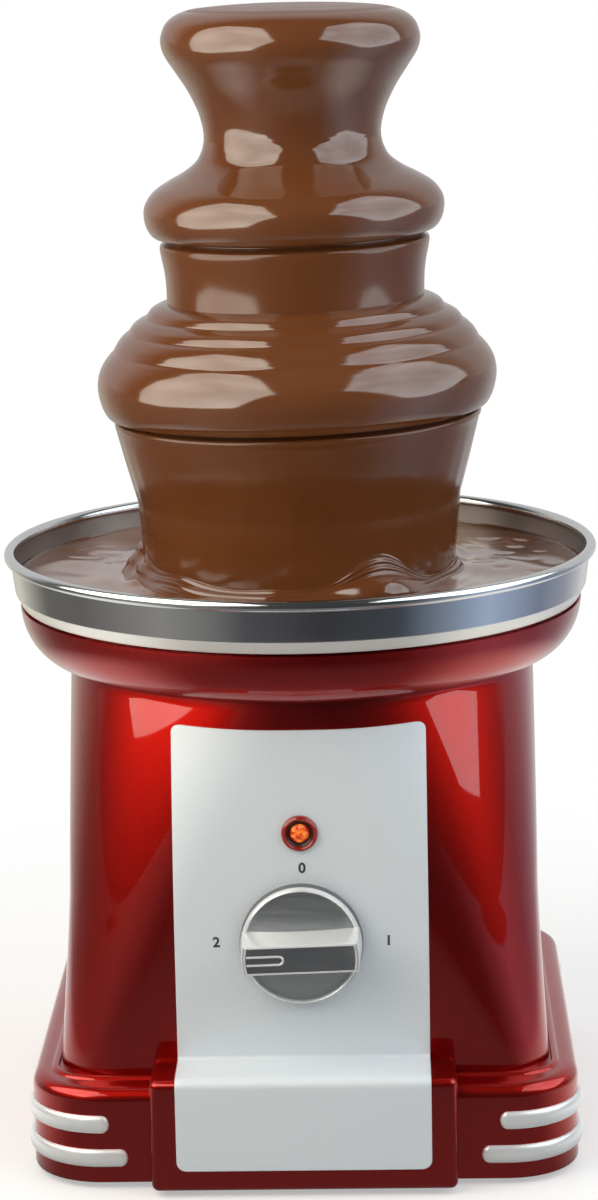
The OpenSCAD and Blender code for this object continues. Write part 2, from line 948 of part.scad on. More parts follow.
module rotor_pinion() {
    color("goldenrod")
        translate([rotor_x, rotor_y, idler_wheel_z - pinion_over])
            difference() {
                gear(pinion_teeth, small_wheel_t + pinion_over, rotor_angle + 180 / pinion_teeth);
                translate([0, 0, -1])
                    cylinder(h = small_wheel_t + pinion_over + 2, r = rotor_shaft_r + push_fit);
            }
}

module rotor_bushes() {
    color("peru")
        translate([rotor_x, rotor_y, 0]) {
            ring(rotor_shaft_r + bush_t, rotor_shaft_r + running, can_low, can_t + bush_over);
            ring(rotor_shaft_r + bush_t, rotor_shaft_r + running, plate_low - bush_over, plate_t + bush_over);
        }
}

module idler_pin() {
    color("silver")
        translate([idler_x, 0, plate_low])
            cylinder(h = chassis_top - plate_low, r = pin_r);
}

module idler_gear() {
    color("whitesmoke")
        translate([idler_x, 0, 0])
            difference() {
                union() {
                    translate([0, 0, idler_wheel_z])
                        gear(wheel_teeth, small_wheel_t, rotor_angle);
                    translate([0, 0, idler_pinion_low - 1])
                        gear(pinion_teeth, chassis_low - end_play - idler_pinion_low + 1,
                            180 + 180 / pinion_teeth);
                    translate([0, 0, plate_top + end_play])
                        cylinder(h = idler_wheel_z - plate_top - end_play + 1, r = idler_hub_r);
                }
                translate([0, 0, plate_top])
                    cylinder(h = chassis_low - plate_top, r = pin_r + running);
            }
}

module output_gear() {
    color("whitesmoke")
        translate([0, 0, output_z])
            difference() {
                gear(wheel_teeth, wheel_t, 0);
                translate([0, 0, -1])
                    cylinder(h = wheel_t + 2, r = shaft_r + push_fit);
            }
}

module drive_shaft() {
    color("silver")
        translate([0, 0, plate_low])
            cylinder(h = shaft_top - plate_low, r = shaft_r);
}

module shaft_bushes() {
    color("peru") {
        ring(shaft_r + bush_t, shaft_r + running, plate_low, plate_t + pinion_over);
        ring(shaft_r + bush_t, shaft_r + running, chassis_low, chassis_t + bush_over);
    }
}

module shaft_seal() {
    color("black")
        difference() {
            union() {
                translate([0, 0, under_z - bush_over])
                    cylinder(h = sheet + bush_over + 1, r = seal_r - push_fit);
                translate([0, 0, floor_z])
                    cylinder(h = seal_lip_h, r = seal_r + seal_lip);
            }
            translate([0, 0, under_z - bush_over - 1])
                cylinder(h = sheet + bush_over + seal_lip_h + 2, r = shaft_r + running);
        }
}

module drive_coupler() {
    color("whitesmoke")
        difference() {
            union() {
                translate([0, 0, coupler_low])
                    cylinder(h = coupler_h, r = coupler_r);
                translate([-peg_w / 2, -peg_w / 2, screw_low - 1])
                    cube([peg_w, peg_w, peg_h + 1]);
            }
            translate([0, 0, coupler_low - 1])
                cylinder(h = shaft_top - coupler_low + 1, r = shaft_r + push_fit);
        }
}

// Section of the screw at a turn: a round core with one wing as wide as the flight is thick
function screw_ring(turn, z) =
    let (wing = 360 * flight_t / screw_pitch)
    concat(
        [for (i = [0 : flight_steps]) let (a = turn + wing * i / flight_steps)
            [screw_r_out * cos(a), screw_r_out * sin(a), z]],
        [for (i = [0 : core_steps]) let (a = turn + wing + (360 - wing) * i / core_steps)
            [core_r * cos(a), core_r * sin(a), z]]);

module screw() {
    turns = (screw_top - screw_low) / screw_pitch;
    rings = ceil(turns * screw_steps);
    sides = flight_steps + core_steps + 2;
    points = [for (k = [0 : rings])
        each screw_ring(360 * turns * k / rings, screw_low + (screw_top - screw_low) * k / rings)];
    skin = [for (k = [0 : rings - 1], i = [0 : sides - 1])
        let (a = k * sides + i, b = k * sides + (i + 1) % sides)
        each [[a, a + sides, b], [b, a + sides, b + sides]]];
    low_cap = [[for (i = [0 : sides - 1]) i]];
    top_cap = [[for (i = [sides - 1 : -1 : 0]) rings * sides + i]];
    color("whitesmoke")
        difference() {
            polyhedron(points, concat(skin, low_cap, top_cap));
            translate([-peg_w / 2 - peg_gap, -peg_w / 2 - peg_gap, screw_low - 1])
                cube([peg_w + 2 * peg_gap, peg_w + 2 * peg_gap, peg_h + 1 + peg_gap]);
        }
}

// Tower

// Outer line of the lower tier's chocolate, from its shoulder to its widest ring
cone_turn = acos((cone_r - lower_r + bulge_rx) / bulge_rx);
bulge_h = (cone_z - lower_z) / sin(cone_turn);
lower_line = concat([[shoulder_r, lower_top_z]],
    arc(lower_r - bulge_rx, lower_z, bulge_rx, bulge_h, cone_turn, 0, arc_steps));
middle_line = flare(neck_r, neck_z, middle_r, middle_z, arc_steps);
crown_line = flare(neck_r, crown_neck_z, crown_r, crown_z, arc_steps);

// Falling curtain between the lower tier's lip and the pool
curtain_line = [for (i = [0 : arc_steps]) let (t = 1 - i / arc_steps)
    [foot_curtain_r + (lower_curtain_r - foot_curtain_r) * t * t, pool_z + (lower_lip_z - pool_z) * t]];

lower_hub_z = lower_top_z - coat_shift - film_gap;
hub_r = tube_r + push_fit;

module tower_tube() {
    color("silver")
        difference() {
            union() {
                translate([0, 0, floor_z])
                    cylinder(h = tube_top_z - floor_z, r = tube_r);
                translate([0, 0, floor_z])
                    cylinder(h = tube_flange_t, r = tube_flange_r);
                translate([0, 0, lower_hub_z - tower_t - hub_t])
                    cylinder(h = hub_t, r = tube_r + tube_ring_w);
                translate([0, 0, crown_neck_z - 2 * hub_t])
                    cylinder(h = hub_t, r = tube_r + tube_ring_w);
            }
            translate([0, 0, floor_z - 1])
                cylinder(h = tube_top_z - floor_z + 2, r = tube_r - tower_t);
            for (a = [0, 90])
                rotate([0, 0, a])
                    translate([-tube_flange_r, -inlet_w / 2, floor_z + tube_flange_t])
                        cube([2 * tube_flange_r, inlet_w, inlet_h]);
        }
}

module lower_tier() {
    drop = coat_shift + film_gap;
    edge_z = lower_z - tier_edge_h;
    color("silver")
        rotate_extrude()
            polygon(concat(
                [[hub_r, lower_hub_z - tower_t], [hub_r, lower_hub_z]],
                shifted(lower_line, -drop, -drop),
                [[lower_r - drop, edge_z], [lower_r - drop - tower_t, edge_z]],
                reversed(shifted(lower_line, -drop - tower_t, -drop - tower_t))));
}

module middle_tier() {
    drop = coat + film_gap;
    edge_z = middle_z - tier_edge_h;
    color("silver")
        rotate_extrude()
            polygon(concat(
                [[hub_r, crown_neck_z - hub_t], [hub_r, crown_neck_z], [neck_r - drop, crown_neck_z]],
                shifted(middle_line, -drop, 0),
                [[middle_r - drop, edge_z], [middle_r - drop - tower_t, edge_z]],
                reversed(shifted(middle_line, -drop - tower_t, 0)),
                [[neck_r - drop - tower_t, crown_neck_z - hub_t]]));
}

module crown() {
    drop = coat + film_gap;
    color("silver")
        rotate_extrude()
            polygon(concat(
                [[hub_r, crown_neck_z]],
                shifted(crown_line, -drop, 0),
                [[crown_r - drop, crown_rim_z], [crown_r - drop - tower_t, crown_rim_z]],
                reversed(flare(neck_r - drop - tower_t, crown_neck_z + hub_t,
                    crown_r - drop - tower_t, crown_z, arc_steps)),
                [[hub_r, crown_neck_z + hub_t]]));
}

// Chocolate

module chocolate_pool() {
    wall_rise = (pool_z - bowl_inside[3][1]) / (rim_z - bowl_inside[3][1]);
    pool_r = bowl_inside[3][0] + (bowl_inside[4][0] - bowl_inside[3][0]) * wall_rise;
    color("saddlebrown")
        rotate_extrude()
            polygon([
                [tube_flange_r + film_gap, floor_z],
                [bowl_inside[0][0] - film_gap, floor_z],
                [bowl_inside[1][0] - film_gap, bowl_inside[1][1] + film_gap],
                [bowl_inside[2][0] - film_gap, bowl_inside[2][1] + film_gap],
                [bowl_inside[3][0] - film_gap, bowl_inside[3][1]],
                [pool_r - film_gap, pool_z],
                [tube_r + film_gap, pool_z],
                [tube_r + film_gap, floor_z + tube_flange_t + film_gap],
                [tube_flange_r + film_gap, floor_z + tube_flange_t + film_gap]]);
}

module chocolate_lower() {
    edge_z = lower_z - tier_edge_h - film_gap;
    color("saddlebrown")
        rotate_extrude()
            polygon(concat(
                lower_line,
                arc(lower_curtain_r, lower_z, lower_r - lower_curtain_r, lower_lip,
                    -lip_lead, -90, arc_steps),
                curtain_line,
                reversed(shifted(curtain_line, -coat, 0)),
                [[lower_curtain_r - coat, edge_z], [lower_r - coat_shift, edge_z]],
                reversed(shifted(lower_line, -coat_shift, -coat_shift)),
                [[shoulder_r - coat, lower_top_z]]));
}

module chocolate_middle() {
    edge_z = middle_z - tier_edge_h - film_gap;
    color("saddlebrown")
        rotate_extrude()
            polygon(concat(
                [[neck_r, crown_neck_z]],
                middle_line,
                arc(upper_curtain_r, middle_z, middle_r - upper_curtain_r, middle_lip,
                    -lip_lead, -90, arc_steps),
                [[shoulder_r, lower_top_z], [shoulder_r - coat, lower_top_z],
                [upper_curtain_r - coat, middle_lip_z], [upper_curtain_r - coat, edge_z],
                [middle_r - coat, edge_z]],
                reversed(shifted(middle_line, -coat, 0)),
                [[neck_r - coat, crown_neck_z]]));
}

module chocolate_crown() {
    fill_z = crown_rim_z + film_gap;
    color("saddlebrown")
        rotate_extrude()
            polygon(concat(
                crown_line,
                arc(crown_flat_r, crown_z, crown_r - crown_flat_r, crown_top_h, lip_lead, 90, arc_steps),
                [[0, crown_top_z], [0, fill_z], [crown_r - coat, fill_z]],
                reversed(shifted(crown_line, -coat, 0))));
}

base_housing();
bottom_cover();
feet();
cover_screws();
cord_gland();
upper_bands();
lower_bands();
upper_housing();
housing_screws();
control_panel();
lamp_bezel();
lamp_lens();
lamp_bulb();
switch_body();
switch_nut();
switch_spindle();
control_knob();
bowl_collar();
bowl();
bowl_studs();
bowl_nuts();
heating_element();
thermostat();
thermal_fuse();
chassis_plate();
chassis_screws();
plate_pillars();
motor_plate();
motor_can();
motor_coil();
rotor();
rotor_pinion();
rotor_bushes();
idler_pin();
idler_gear();
output_gear();
drive_shaft();
shaft_bushes();
shaft_seal();
drive_coupler();
screw();
tower_tube();
lower_tier();
middle_tier();
crown();
chocolate_pool();
chocolate_lower();
chocolate_middle();
chocolate_crown();
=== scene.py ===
import math

import bmesh
import bpy
import numpy as np
from mathutils import Matrix, Vector


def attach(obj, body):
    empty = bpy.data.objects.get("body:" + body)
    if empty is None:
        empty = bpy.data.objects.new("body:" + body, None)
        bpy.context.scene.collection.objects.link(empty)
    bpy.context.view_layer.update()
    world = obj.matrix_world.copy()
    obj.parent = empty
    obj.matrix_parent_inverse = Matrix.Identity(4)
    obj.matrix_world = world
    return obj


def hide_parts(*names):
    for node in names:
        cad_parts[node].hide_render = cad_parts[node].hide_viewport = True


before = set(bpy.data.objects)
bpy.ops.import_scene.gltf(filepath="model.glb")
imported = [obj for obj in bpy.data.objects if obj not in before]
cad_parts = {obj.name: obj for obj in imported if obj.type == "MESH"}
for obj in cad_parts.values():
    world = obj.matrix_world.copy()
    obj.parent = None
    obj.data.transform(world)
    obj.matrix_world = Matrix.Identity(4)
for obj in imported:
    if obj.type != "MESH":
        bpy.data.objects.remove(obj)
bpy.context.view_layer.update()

# Feet and bottom cover.
# Four rubber pads stand under a moulded black tray that closes the base from below.
# The tray is injection-moulded plastic with a spark-eroded grain, held by four plated screws.
MM = 0.001
EVEN = (1.0, 1.0, 1.0)
NOISE_LOW, NOISE_HIGH = 0.3, 0.7
GRAIN_HAZE = (-0.06, 0.06)


def node(tree, kind):
    return tree.nodes.new("ShaderNode" + kind)


def fill(part, values):
    for socket, value in values.items():
        part.inputs[socket].default_value = value


def new_finish(name, colour, roughness, metallic=0.0):
    finish = bpy.data.materials.new(name)
    finish.use_nodes = True
    shader = finish.node_tree.nodes["Principled BSDF"]
    fill(shader, {"Base Color": (*colour, 1.0), "Roughness": roughness, "Metallic": metallic})
    return finish, finish.node_tree, shader


def plug(tree, value, socket):
    if isinstance(value, bpy.types.NodeSocket):
        tree.links.new(value, socket)
    else:
        socket.default_value = value


def noise_on(tree, scale, detail=3.0, stretch=EVEN):
    place = node(tree, "TexCoord")
    span = node(tree, "Mapping")
    fill(span, {"Scale": stretch})
    noise = node(tree, "TexNoise")
    fill(noise, {"Scale": scale, "Detail": detail})
    plug(tree, place.outputs["Object"], span.inputs["Vector"])
    plug(tree, span.outputs["Vector"], noise.inputs["Vector"])
    return noise.outputs["Fac"]


def ranged(tree, value, low, high, first=0.0, last=1.0, curve="LINEAR"):
    ramp = node(tree, "MapRange")
    ramp.interpolation_type = curve
    fill(ramp, {"From Min": low, "From Max": high, "To Min": first, "To Max": last})
    plug(tree, value, ramp.inputs["Value"])
    return ramp.outputs["Result"]


def spread(tree, value, low, high):
    return ranged(tree, value, NOISE_LOW, NOISE_HIGH, low, high)


def blended(tree, share, first, second, colour=True):
    blend = node(tree, "Mix")
    blend.data_type = "RGBA" if colour else "FLOAT"
    pair = 6 if colour else 2
    plug(tree, share, blend.inputs[0])
    plug(tree, first, blend.inputs[pair])
    plug(tree, second, blend.inputs[pair + 1])
    return blend.outputs[2 if colour else 0]


def two_tone(tree, shader, value, first, second):
    tone = blended(tree, value, (*first, 1.0), (*second, 1.0))
    plug(tree, tone, shader.inputs["Base Color"])


def rough_up(tree, shader, value, depth, strength):
    bump = node(tree, "Bump")
    fill(bump, {"Strength": strength, "Distance": depth * MM})
    plug(tree, value, bump.inputs["Height"])
    plug(tree, bump.outputs["Normal"], shader.inputs["Normal"])


def grain_all(tree, shader, grain, first, second, low, high, depth, strength):
    two_tone(tree, shader, grain, first, second)
    plug(tree, spread(tree, grain, low, high), shader.inputs["Roughness"])
    rough_up(tree, shader, grain, depth, strength)


def grained(name, first, second, roughness, scale, depth, metallic=0.0, stretch=EVEN, detail=3.0, strength=0.4,
            haze=GRAIN_HAZE):
    finish, tree, shader = new_finish(name, first, roughness, metallic)
    grain_all(tree, shader, noise_on(tree, scale, detail, stretch), first, second,
              roughness + haze[0], roughness + haze[1], depth, strength)
    return finish


def dress(finish, *names):
    for name in names:
        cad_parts[name].data.materials.clear()
        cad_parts[name].data.materials.append(finish)


foot_rubber = grained("foot_rubber", (0.022, 0.022, 0.023), (0.034, 0.034, 0.034), 0.78, 900, 0.08)
black_plastic = grained("black_plastic", (0.018, 0.018, 0.019), (0.028, 0.028, 0.03), 0.46, 1400, 0.05)
zinc_plate = grained("zinc_plate", (0.50, 0.52, 0.53), (0.60, 0.61, 0.60), 0.30, 260, 0.02, 1.0)
dress(foot_rubber, "feet")
dress(black_plastic, "bottom_cover")
dress(zinc_plate, "cover_screws")

# Base housing.
# A square moulding with round corners, a soft upper edge and a raised bead round the body's foot.
# A box with rounded edges stands out at its front; plastic, painted in red flake under clear lacquer.
SIDES = 256
BASE_HALF, BASE_CORNER = 90.0, 24.0
BASE_LOW, BASE_TOP, BASE_WALL = 2.0, 34.0, 2.5
EDGE_R = 4.5
FOOT_HALF, FOOT_FLARE = 78.0, 2.8
MERGE, FINE_MERGE = 1e-6, 1e-7


def full_turn(count):
    return np.linspace(0, 2 * np.pi, count, endpoint=False)


def spun(reach, turn, height):
    return np.stack(np.broadcast_arrays(reach * np.cos(turn), reach * np.sin(turn), height), 1)


def square_ring(half, corner, height):
    turn = full_turn(SIDES)
    run, rise = np.abs(np.cos(turn)), np.abs(np.sin(turn))
    reach = half / np.maximum(run, rise)
    middle = half - corner
    along = (run + rise) * middle
    arc = along + np.sqrt(np.maximum(along**2 - 2 * middle**2 + corner**2, 0))
    short_way = reach * np.minimum(run, rise)
    return spun(np.where(short_way > middle, arc, reach), turn, height)


def flared(ring, by):
    ring[:, 0] *= 1 + by / FOOT_HALF
    return ring


def skin(name, rings, wrap=True, crease=38, place=None):
    rings = np.asarray(rings, float)
    levels, count = rings.shape[:2]
    points = (rings.reshape(-1, 3) * MM).tolist()
    faces = []
    for level in range(levels if wrap else levels - 1):
        low, high = level * count, (level + 1) % levels * count
        for i in range(count):
            j = (i + 1) % count
            faces.append((low + i, low + j, high + j, high + i))
    if not wrap:
        faces.append(tuple(range(count))[::-1])
        faces.append(tuple(range((levels - 1) * count, levels * count)))
    mesh = listed(name, points, faces)
    close_up(mesh, crease)
    if place is not None:
        mesh.transform(place)
    return mesh


def listed(name, points, faces):
    mesh = bpy.data.meshes.new(name)
    mesh.from_pydata(points, [], faces)
    return mesh


def finished(name, work):
    mesh = bpy.data.meshes.new(name)
    work.to_mesh(mesh)
    work.free()
    return mesh


def close_up(mesh, crease, merge=MERGE):
    work = bmesh.new()
    work.from_mesh(mesh)
    bmesh.ops.remove_doubles(work, verts=work.verts, dist=merge)
    loose = [edge for edge in work.edges if not edge.link_faces]
    bmesh.ops.delete(work, geom=loose, context="EDGES")
    bmesh.ops.recalc_face_normals(work, faces=work.faces)
    work.to_mesh(mesh)
    work.free()
    mesh.shade_smooth()
    mesh.set_sharp_from_angle(angle=math.radians(crease))


def placed(name, data):
    obj = bpy.data.objects.new(name, data)
    bpy.context.scene.collection.objects.link(obj)
    return obj


def add_piece(name, mesh, finish, body, slot, *nodes):
    piece = placed(name, mesh)
    mesh.materials.clear()
    mesh.materials.append(finish)
    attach(piece, body)
    if nodes:
        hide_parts(*nodes)


def round_box(name, low, high, radius, steps=5):
    work = bmesh.new()
    bmesh.ops.create_cube(work, size=1.0)
    for corner in work.verts:
        corner.co = Vector([(low[i] if corner.co[i] < 0 else high[i]) * MM for i in range(3)])
    bmesh.ops.bevel(work, geom=work.edges[:], offset=radius * MM, offset_type="OFFSET",
                    segments=steps, profile=0.5, affect="EDGES", clamp_overlap=True)
    return finished(name, work)


def round_hole(name, spot, radius, length, sides=64):
    work = bmesh.new()
    place = Matrix.Translation(Vector(spot) * MM) @ Matrix.Rotation(math.pi / 2, 4, "X")
    bmesh.ops.create_cone(work, cap_ends=True, segments=sides, radius1=radius * MM, radius2=radius * MM,
                          depth=length * MM, matrix=place)
    return finished(name, work)


def settled(obj):
    bpy.context.view_layer.update()
    return bpy.data.meshes.new_from_object(obj.evaluated_get(bpy.context.evaluated_depsgraph_get()))


def fused(name, first, second, hole, crease):
    host, guest, drill = (placed(name + part, mesh)
                          for part, mesh in (("_host", first), ("_guest", second), ("_drill", hole)))
    for work, tool in (("UNION", guest), ("DIFFERENCE", drill)):
        step = host.modifiers.new(work, "BOOLEAN")
        step.operation = work
        step.solver = "EXACT"
        step.object = tool
    mesh = settled(host)
    mesh.name = name
    for obj in (host, guest, drill):
        bpy.data.objects.remove(obj)
    close_up(mesh, crease, FINE_MERGE)
    return mesh


def red_flake_paint():
    deep, bright = (0.38, 0.005, 0.003), (0.52, 0.009, 0.004)
    finish, tree, shader = new_finish("red_flake_paint", deep, 0.39, 1.0)
    flake = noise_on(tree, 2600, 2.0)
    two_tone(tree, shader, spread(tree, flake, 0.0, 1.0), deep, bright)
    plug(tree, spread(tree, flake, 0.35, 0.43), shader.inputs["Roughness"])
    rough_up(tree, shader, flake, 0.02, 0.25)
    fill(shader, {"Coat Weight": 1.0, "Coat Roughness": 0.03, "Coat IOR": 1.5})
    return finish


base_edge = [(EDGE_R * (1 - math.cos(a)), BASE_TOP - EDGE_R * (1 - math.sin(a)))
             for a in np.radians(np.linspace(0, 90, 9))]
base_line = [(0.9, BASE_LOW), (0.25, BASE_LOW + 0.25), (0.0, BASE_LOW + 0.9), (0.0, 12.0), (0.0, 22.0)]
base_line += base_edge
base_line += [(8.6, 34.0), (9.1, 34.08), (9.5, 34.5), (10.0, 34.95), (10.7, 35.15), (11.4, 35.0), (11.75, 34.6),
              (11.8, 33.95), (19.0, 33.95), (19.0, 31.5), (BASE_WALL, 31.5), (BASE_WALL, BASE_LOW)]
red_paint = red_flake_paint()
BEAD_FROM = 8.0
base_rings = [flared(square_ring(BASE_HALF - inset, BASE_CORNER - inset, z), FOOT_FLARE * (inset > BEAD_FROM))
              for inset, z in base_line]
base_shell = skin("base_shell", base_rings)
BOX_HALF, BOX_FRONT, BOX_BACK, BOX_TOP, BOX_EDGE = 49.5, -99.0, -77.6, 39.5, 2.4
front_box = round_box("front_box", (-BOX_HALF, BOX_FRONT, BASE_LOW), (BOX_HALF, BOX_BACK, BOX_TOP), BOX_EDGE)
GLAND_X, GLAND_Z, GLAND_R = 45.0, 18.0, 5.5
GLAND_PLAY, HOLE_LONG = 0.05, 8.0
gland_hole = round_hole("gland_hole", (GLAND_X, BASE_HALF, GLAND_Z), GLAND_R + GLAND_PLAY, HOLE_LONG)
base_mesh = fused("base_moulding", base_shell, front_box, gland_hole, crease=32)
add_piece("base_moulding", base_mesh, red_paint, "root", "red_paint", "base_housing")

# Rear gland.
# A round bush with a flange lines the hole in the back of the base through which the lead enters.
# It is moulded in black plastic with soft edges and pushed in from outside.
GLAND_OUT, GLAND_LONG, GLAND_BORE, GLAND_FLANGE = 92.5, 11.0, 3.6, 8.0
TURN = 96


def turned(name, line, crease=38, count=TURN, place=None):
    turn = full_turn(count)
    return skin(name, [spun(r, turn, z) for r, z in line], crease=crease, place=place)


gland_line = [(GLAND_BORE, GLAND_LONG), (GLAND_BORE, 0.9), (GLAND_BORE + 0.15, 0.4), (GLAND_BORE + 0.5, 0.1),
              (4.7, 0.0), (6.9, 0.0), (7.5, 0.15), (7.85, 0.5), (GLAND_FLANGE, 1.0), (GLAND_FLANGE, 2.45),
              (GLAND_R, 2.45), (GLAND_R, GLAND_LONG)]
gland_spot = Vector((GLAND_X, GLAND_OUT, GLAND_Z)) * MM
gland_place = Matrix.Translation(gland_spot) @ Matrix.Rotation(math.pi / 2, 4, "X")
add_piece("gland_bush", turned("gland_bush", gland_line, place=gland_place), black_plastic,
          "root", "black_plastic", "cord_gland")

# Corner bands.
# Two half-round trims lie one above the other round each corner of the base, the lower one longer.
# They are moulded strips with rounded ends, sprayed satin silver and pushed into slots in the base.
BAND_OUT, BAND_TALL, BAND_SUNK = 1.5, 6.0, 0.4
BAND_END, BAND_TIP, BAND_FLAT = 2.6, 0.03, 0.35
BAND_CREASE = 50


def band_strip(run, height):
    arc = BASE_CORNER * math.pi / 2
    length = 2 * run + arc
    stations = np.concatenate([np.linspace(0.0, BAND_END, 9),
                               np.linspace(BAND_END, length - BAND_END, 40)[1:-1],
                               np.linspace(length - BAND_END, length, 9)])
    middle = BASE_HALF - BASE_CORNER
    loops = []
    for s in stations:
        if s < run:
            spot, out = (BASE_HALF, middle - run + s), (1.0, 0.0)
        elif s > run + arc:
            spot, out = (middle - (s - run - arc), BASE_HALF), (0.0, 1.0)
        else:
            a = (s - run) / BASE_CORNER
            out = (math.cos(a), math.sin(a))
            spot = (middle + BASE_CORNER * out[0], middle + BASE_CORNER * out[1])
        tip = min(s, length - s) / BAND_END
        share = max(math.sqrt(max(1 - (1 - min(tip, 1.0)) ** 2, 0)), BAND_TIP)
        loop = [(-BAND_SUNK, -1.0), (-BAND_SUNK, 1.0)]
        loop += [(BAND_OUT * (BAND_FLAT + (1 - BAND_FLAT) * share) * math.cos(b), math.sin(b))
                 for b in np.radians(np.linspace(90, -90, 15))]
        loops.append([(spot[0] + out[0] * o, spot[1] + out[1] * o, height + BAND_TALL / 2 * share * v)
                      for o, v in loop])
    return np.array(loops)


def joined(name, *meshes):
    whole = bmesh.new()
    for mesh in meshes:
        whole.from_mesh(mesh)
        bpy.data.meshes.remove(mesh)
    return finished(name, whole)


def four_corners(name, loops):
    strips = [skin(name, loops, wrap=False, crease=BAND_CREASE,
                   place=Matrix.Rotation(quarter * math.pi / 2, 4, "Z")) for quarter in range(4)]
    mesh = joined(name, *strips)
    close_up(mesh, BAND_CREASE)
    return mesh


def silver_spray(name, first, second, roughness, metallic):
    return grained(name, first, second, roughness, 2200, 0.015, metallic,
                   detail=2.0, strength=0.3, haze=(-0.04, 0.05))


band_silver = silver_spray("band_silver", (0.86, 0.885, 0.895), (0.92, 0.935, 0.94), 0.32, 0.45)
for side, run, height in (("upper", 2.6, 22.2), ("lower", 8.5, 10.7)):
    bands = four_corners(side + "_corner_bands", band_strip(run, height))
    add_piece(side + "_corner_bands", bands, band_silver, "root", "band_silver", side + "_bands")

# Drive inside the body.
# A shaded-pole motor hangs under a steel plate; its pinion turns an idler and an output gear.
# Steel parts are zinc plated, the gears are white moulded plastic, the coil is lacquered copper wire.
white_plastic = grained("white_plastic", (0.70, 0.69, 0.66), (0.77, 0.76, 0.73), 0.42, 900, 0.03)
copper_wire = grained("copper_wire", (0.40, 0.13, 0.045), (0.52, 0.20, 0.07), 0.34, 60, 0.10, 0.9,
                      (1.0, 1.0, 60.0))
bearing_bronze = grained("bearing_bronze", (0.42, 0.26, 0.09), (0.50, 0.33, 0.13), 0.36, 700, 0.03, 1.0)
dress(zinc_plate, "chassis_plate", "chassis_screws", "plate_pillars", "motor_plate", "motor_can", "rotor",
      "idler_pin", "drive_shaft")
dress(white_plastic, "idler_gear", "output_gear", "drive_coupler")
dress(foot_rubber, "shaft_seal")
dress(copper_wire, "motor_coil")
dress(bearing_bronze, "rotor_pinion", "rotor_bushes", "shaft_bushes")

# Upper housing.
# The body grows from a round-cornered square at the base into a full circle under the bowl.
# One plastic moulding in the same lacquered red, screwed to the base from below.
FOOT_CORNER = 19.0
BODY_LOW, BODY_TOP = 34.0, 160.0
BODY_FLAT_LOW, BODY_FLAT_TOP = 35.0, 159.0
BODY_ROUND_R, BODY_WALL, BODY_ROWS = 78.5, 2.5, 48
ROUNDING, ROUND_SLACK = 1.3, 0.01
FLARE_TOP, FLARE_CURVE = 88.0, 1.3


def body_section(height):
    share = min(max((height - BODY_FLAT_LOW) / (BODY_FLAT_TOP - BODY_FLAT_LOW), 0.0), 1.0)
    return (FOOT_HALF + (BODY_ROUND_R - FOOT_HALF) * share,
            FOOT_CORNER + (BODY_ROUND_R - FOOT_CORNER) * share**ROUNDING)


def body_ring(height, inset):
    half, corner = body_section(height)
    low = min(max((FLARE_TOP - height) / (FLARE_TOP - BODY_FLAT_LOW), 0.0), 1.0)
    ring = square_ring(half - inset, min(corner, half - ROUND_SLACK) - inset, height)
    return flared(ring, FOOT_FLARE * low**FLARE_CURVE)


body_levels = np.concatenate([[BODY_LOW, BODY_FLAT_LOW],
                              np.linspace(BODY_FLAT_LOW, BODY_FLAT_TOP, BODY_ROWS)[1:], [BODY_TOP]])
body_rings = [body_ring(z, 0.0) for z in body_levels]
body_rings += [body_ring(z, BODY_WALL) for z in body_levels[::-1]]
add_piece("body_moulding", skin("body_moulding", body_rings), red_paint, "root", "red_paint", "upper_housing")
dress(zinc_plate, "housing_screws")

# Control panel.
# A 1 mm sheet of plastic follows the front of the body, bends over the box and runs down its face.
# It is sprayed matt silver with fine sparkle and glued on; small plain numbers are printed at the knob.
PANEL_HALF, PANEL_TOP, PANEL_END = 41.2, 151.1, 9.5
PANEL_LIFT, PANEL_T = 0.1, 1.0
PANEL_TOP_R, PANEL_END_R, PANEL_BEND = 2.9, 3.2, 3.4
INNER_BEND = 1.2
PANEL_ARCH, ARCH_REACH = -0.6, 40.0
PANEL_COLUMNS, PANEL_SOFT = 41, 0.42


def body_front(x, height):
    half, corner = body_section(height)
    middle = half - corner
    if abs(x) <= middle:
        return half
    return middle + math.sqrt(max(corner**2 - (abs(x) - middle) ** 2, 0.0))


def panel_rows():
    out = PANEL_LIFT + PANEL_T
    strip_z, face_y = BOX_TOP + PANEL_T, BOX_FRONT - PANEL_T
    levels = np.concatenate([PANEL_TOP - np.linspace(0, PANEL_TOP_R, 9),
                             np.linspace(PANEL_TOP - PANEL_TOP_R, strip_z + INNER_BEND, 44)[1:]])
    rows = [("body", z) for z in levels]
    foot_y = -(body_front(0.0, strip_z) + out)
    for a in np.radians(np.linspace(0, 90, 7))[1:]:
        rows.append(("flat", (foot_y - INNER_BEND * (1 - math.cos(a)),
                              strip_z + INNER_BEND * (1 - math.sin(a)))))
    for y in np.linspace(foot_y - INNER_BEND, face_y + PANEL_BEND, 10)[1:]:
        rows.append(("flat", (y, strip_z)))
    for a in np.radians(np.linspace(0, 90, 11))[1:]:
        rows.append(("flat", (face_y + PANEL_BEND * (1 - math.sin(a)),
                              strip_z - PANEL_BEND * (1 - math.cos(a)))))
    for z in np.concatenate([np.linspace(strip_z - PANEL_BEND, PANEL_END + PANEL_END_R, 10)[1:],
                             PANEL_END + PANEL_END_R - np.linspace(0, PANEL_END_R, 9)[1:]]):
        rows.append(("flat", (face_y, z)))
    return rows


def corner_cut(distance, radius):
    if distance >= radius:
        return 0.0
    return radius - math.sqrt(max(radius**2 - (radius - distance) ** 2, 0.0))


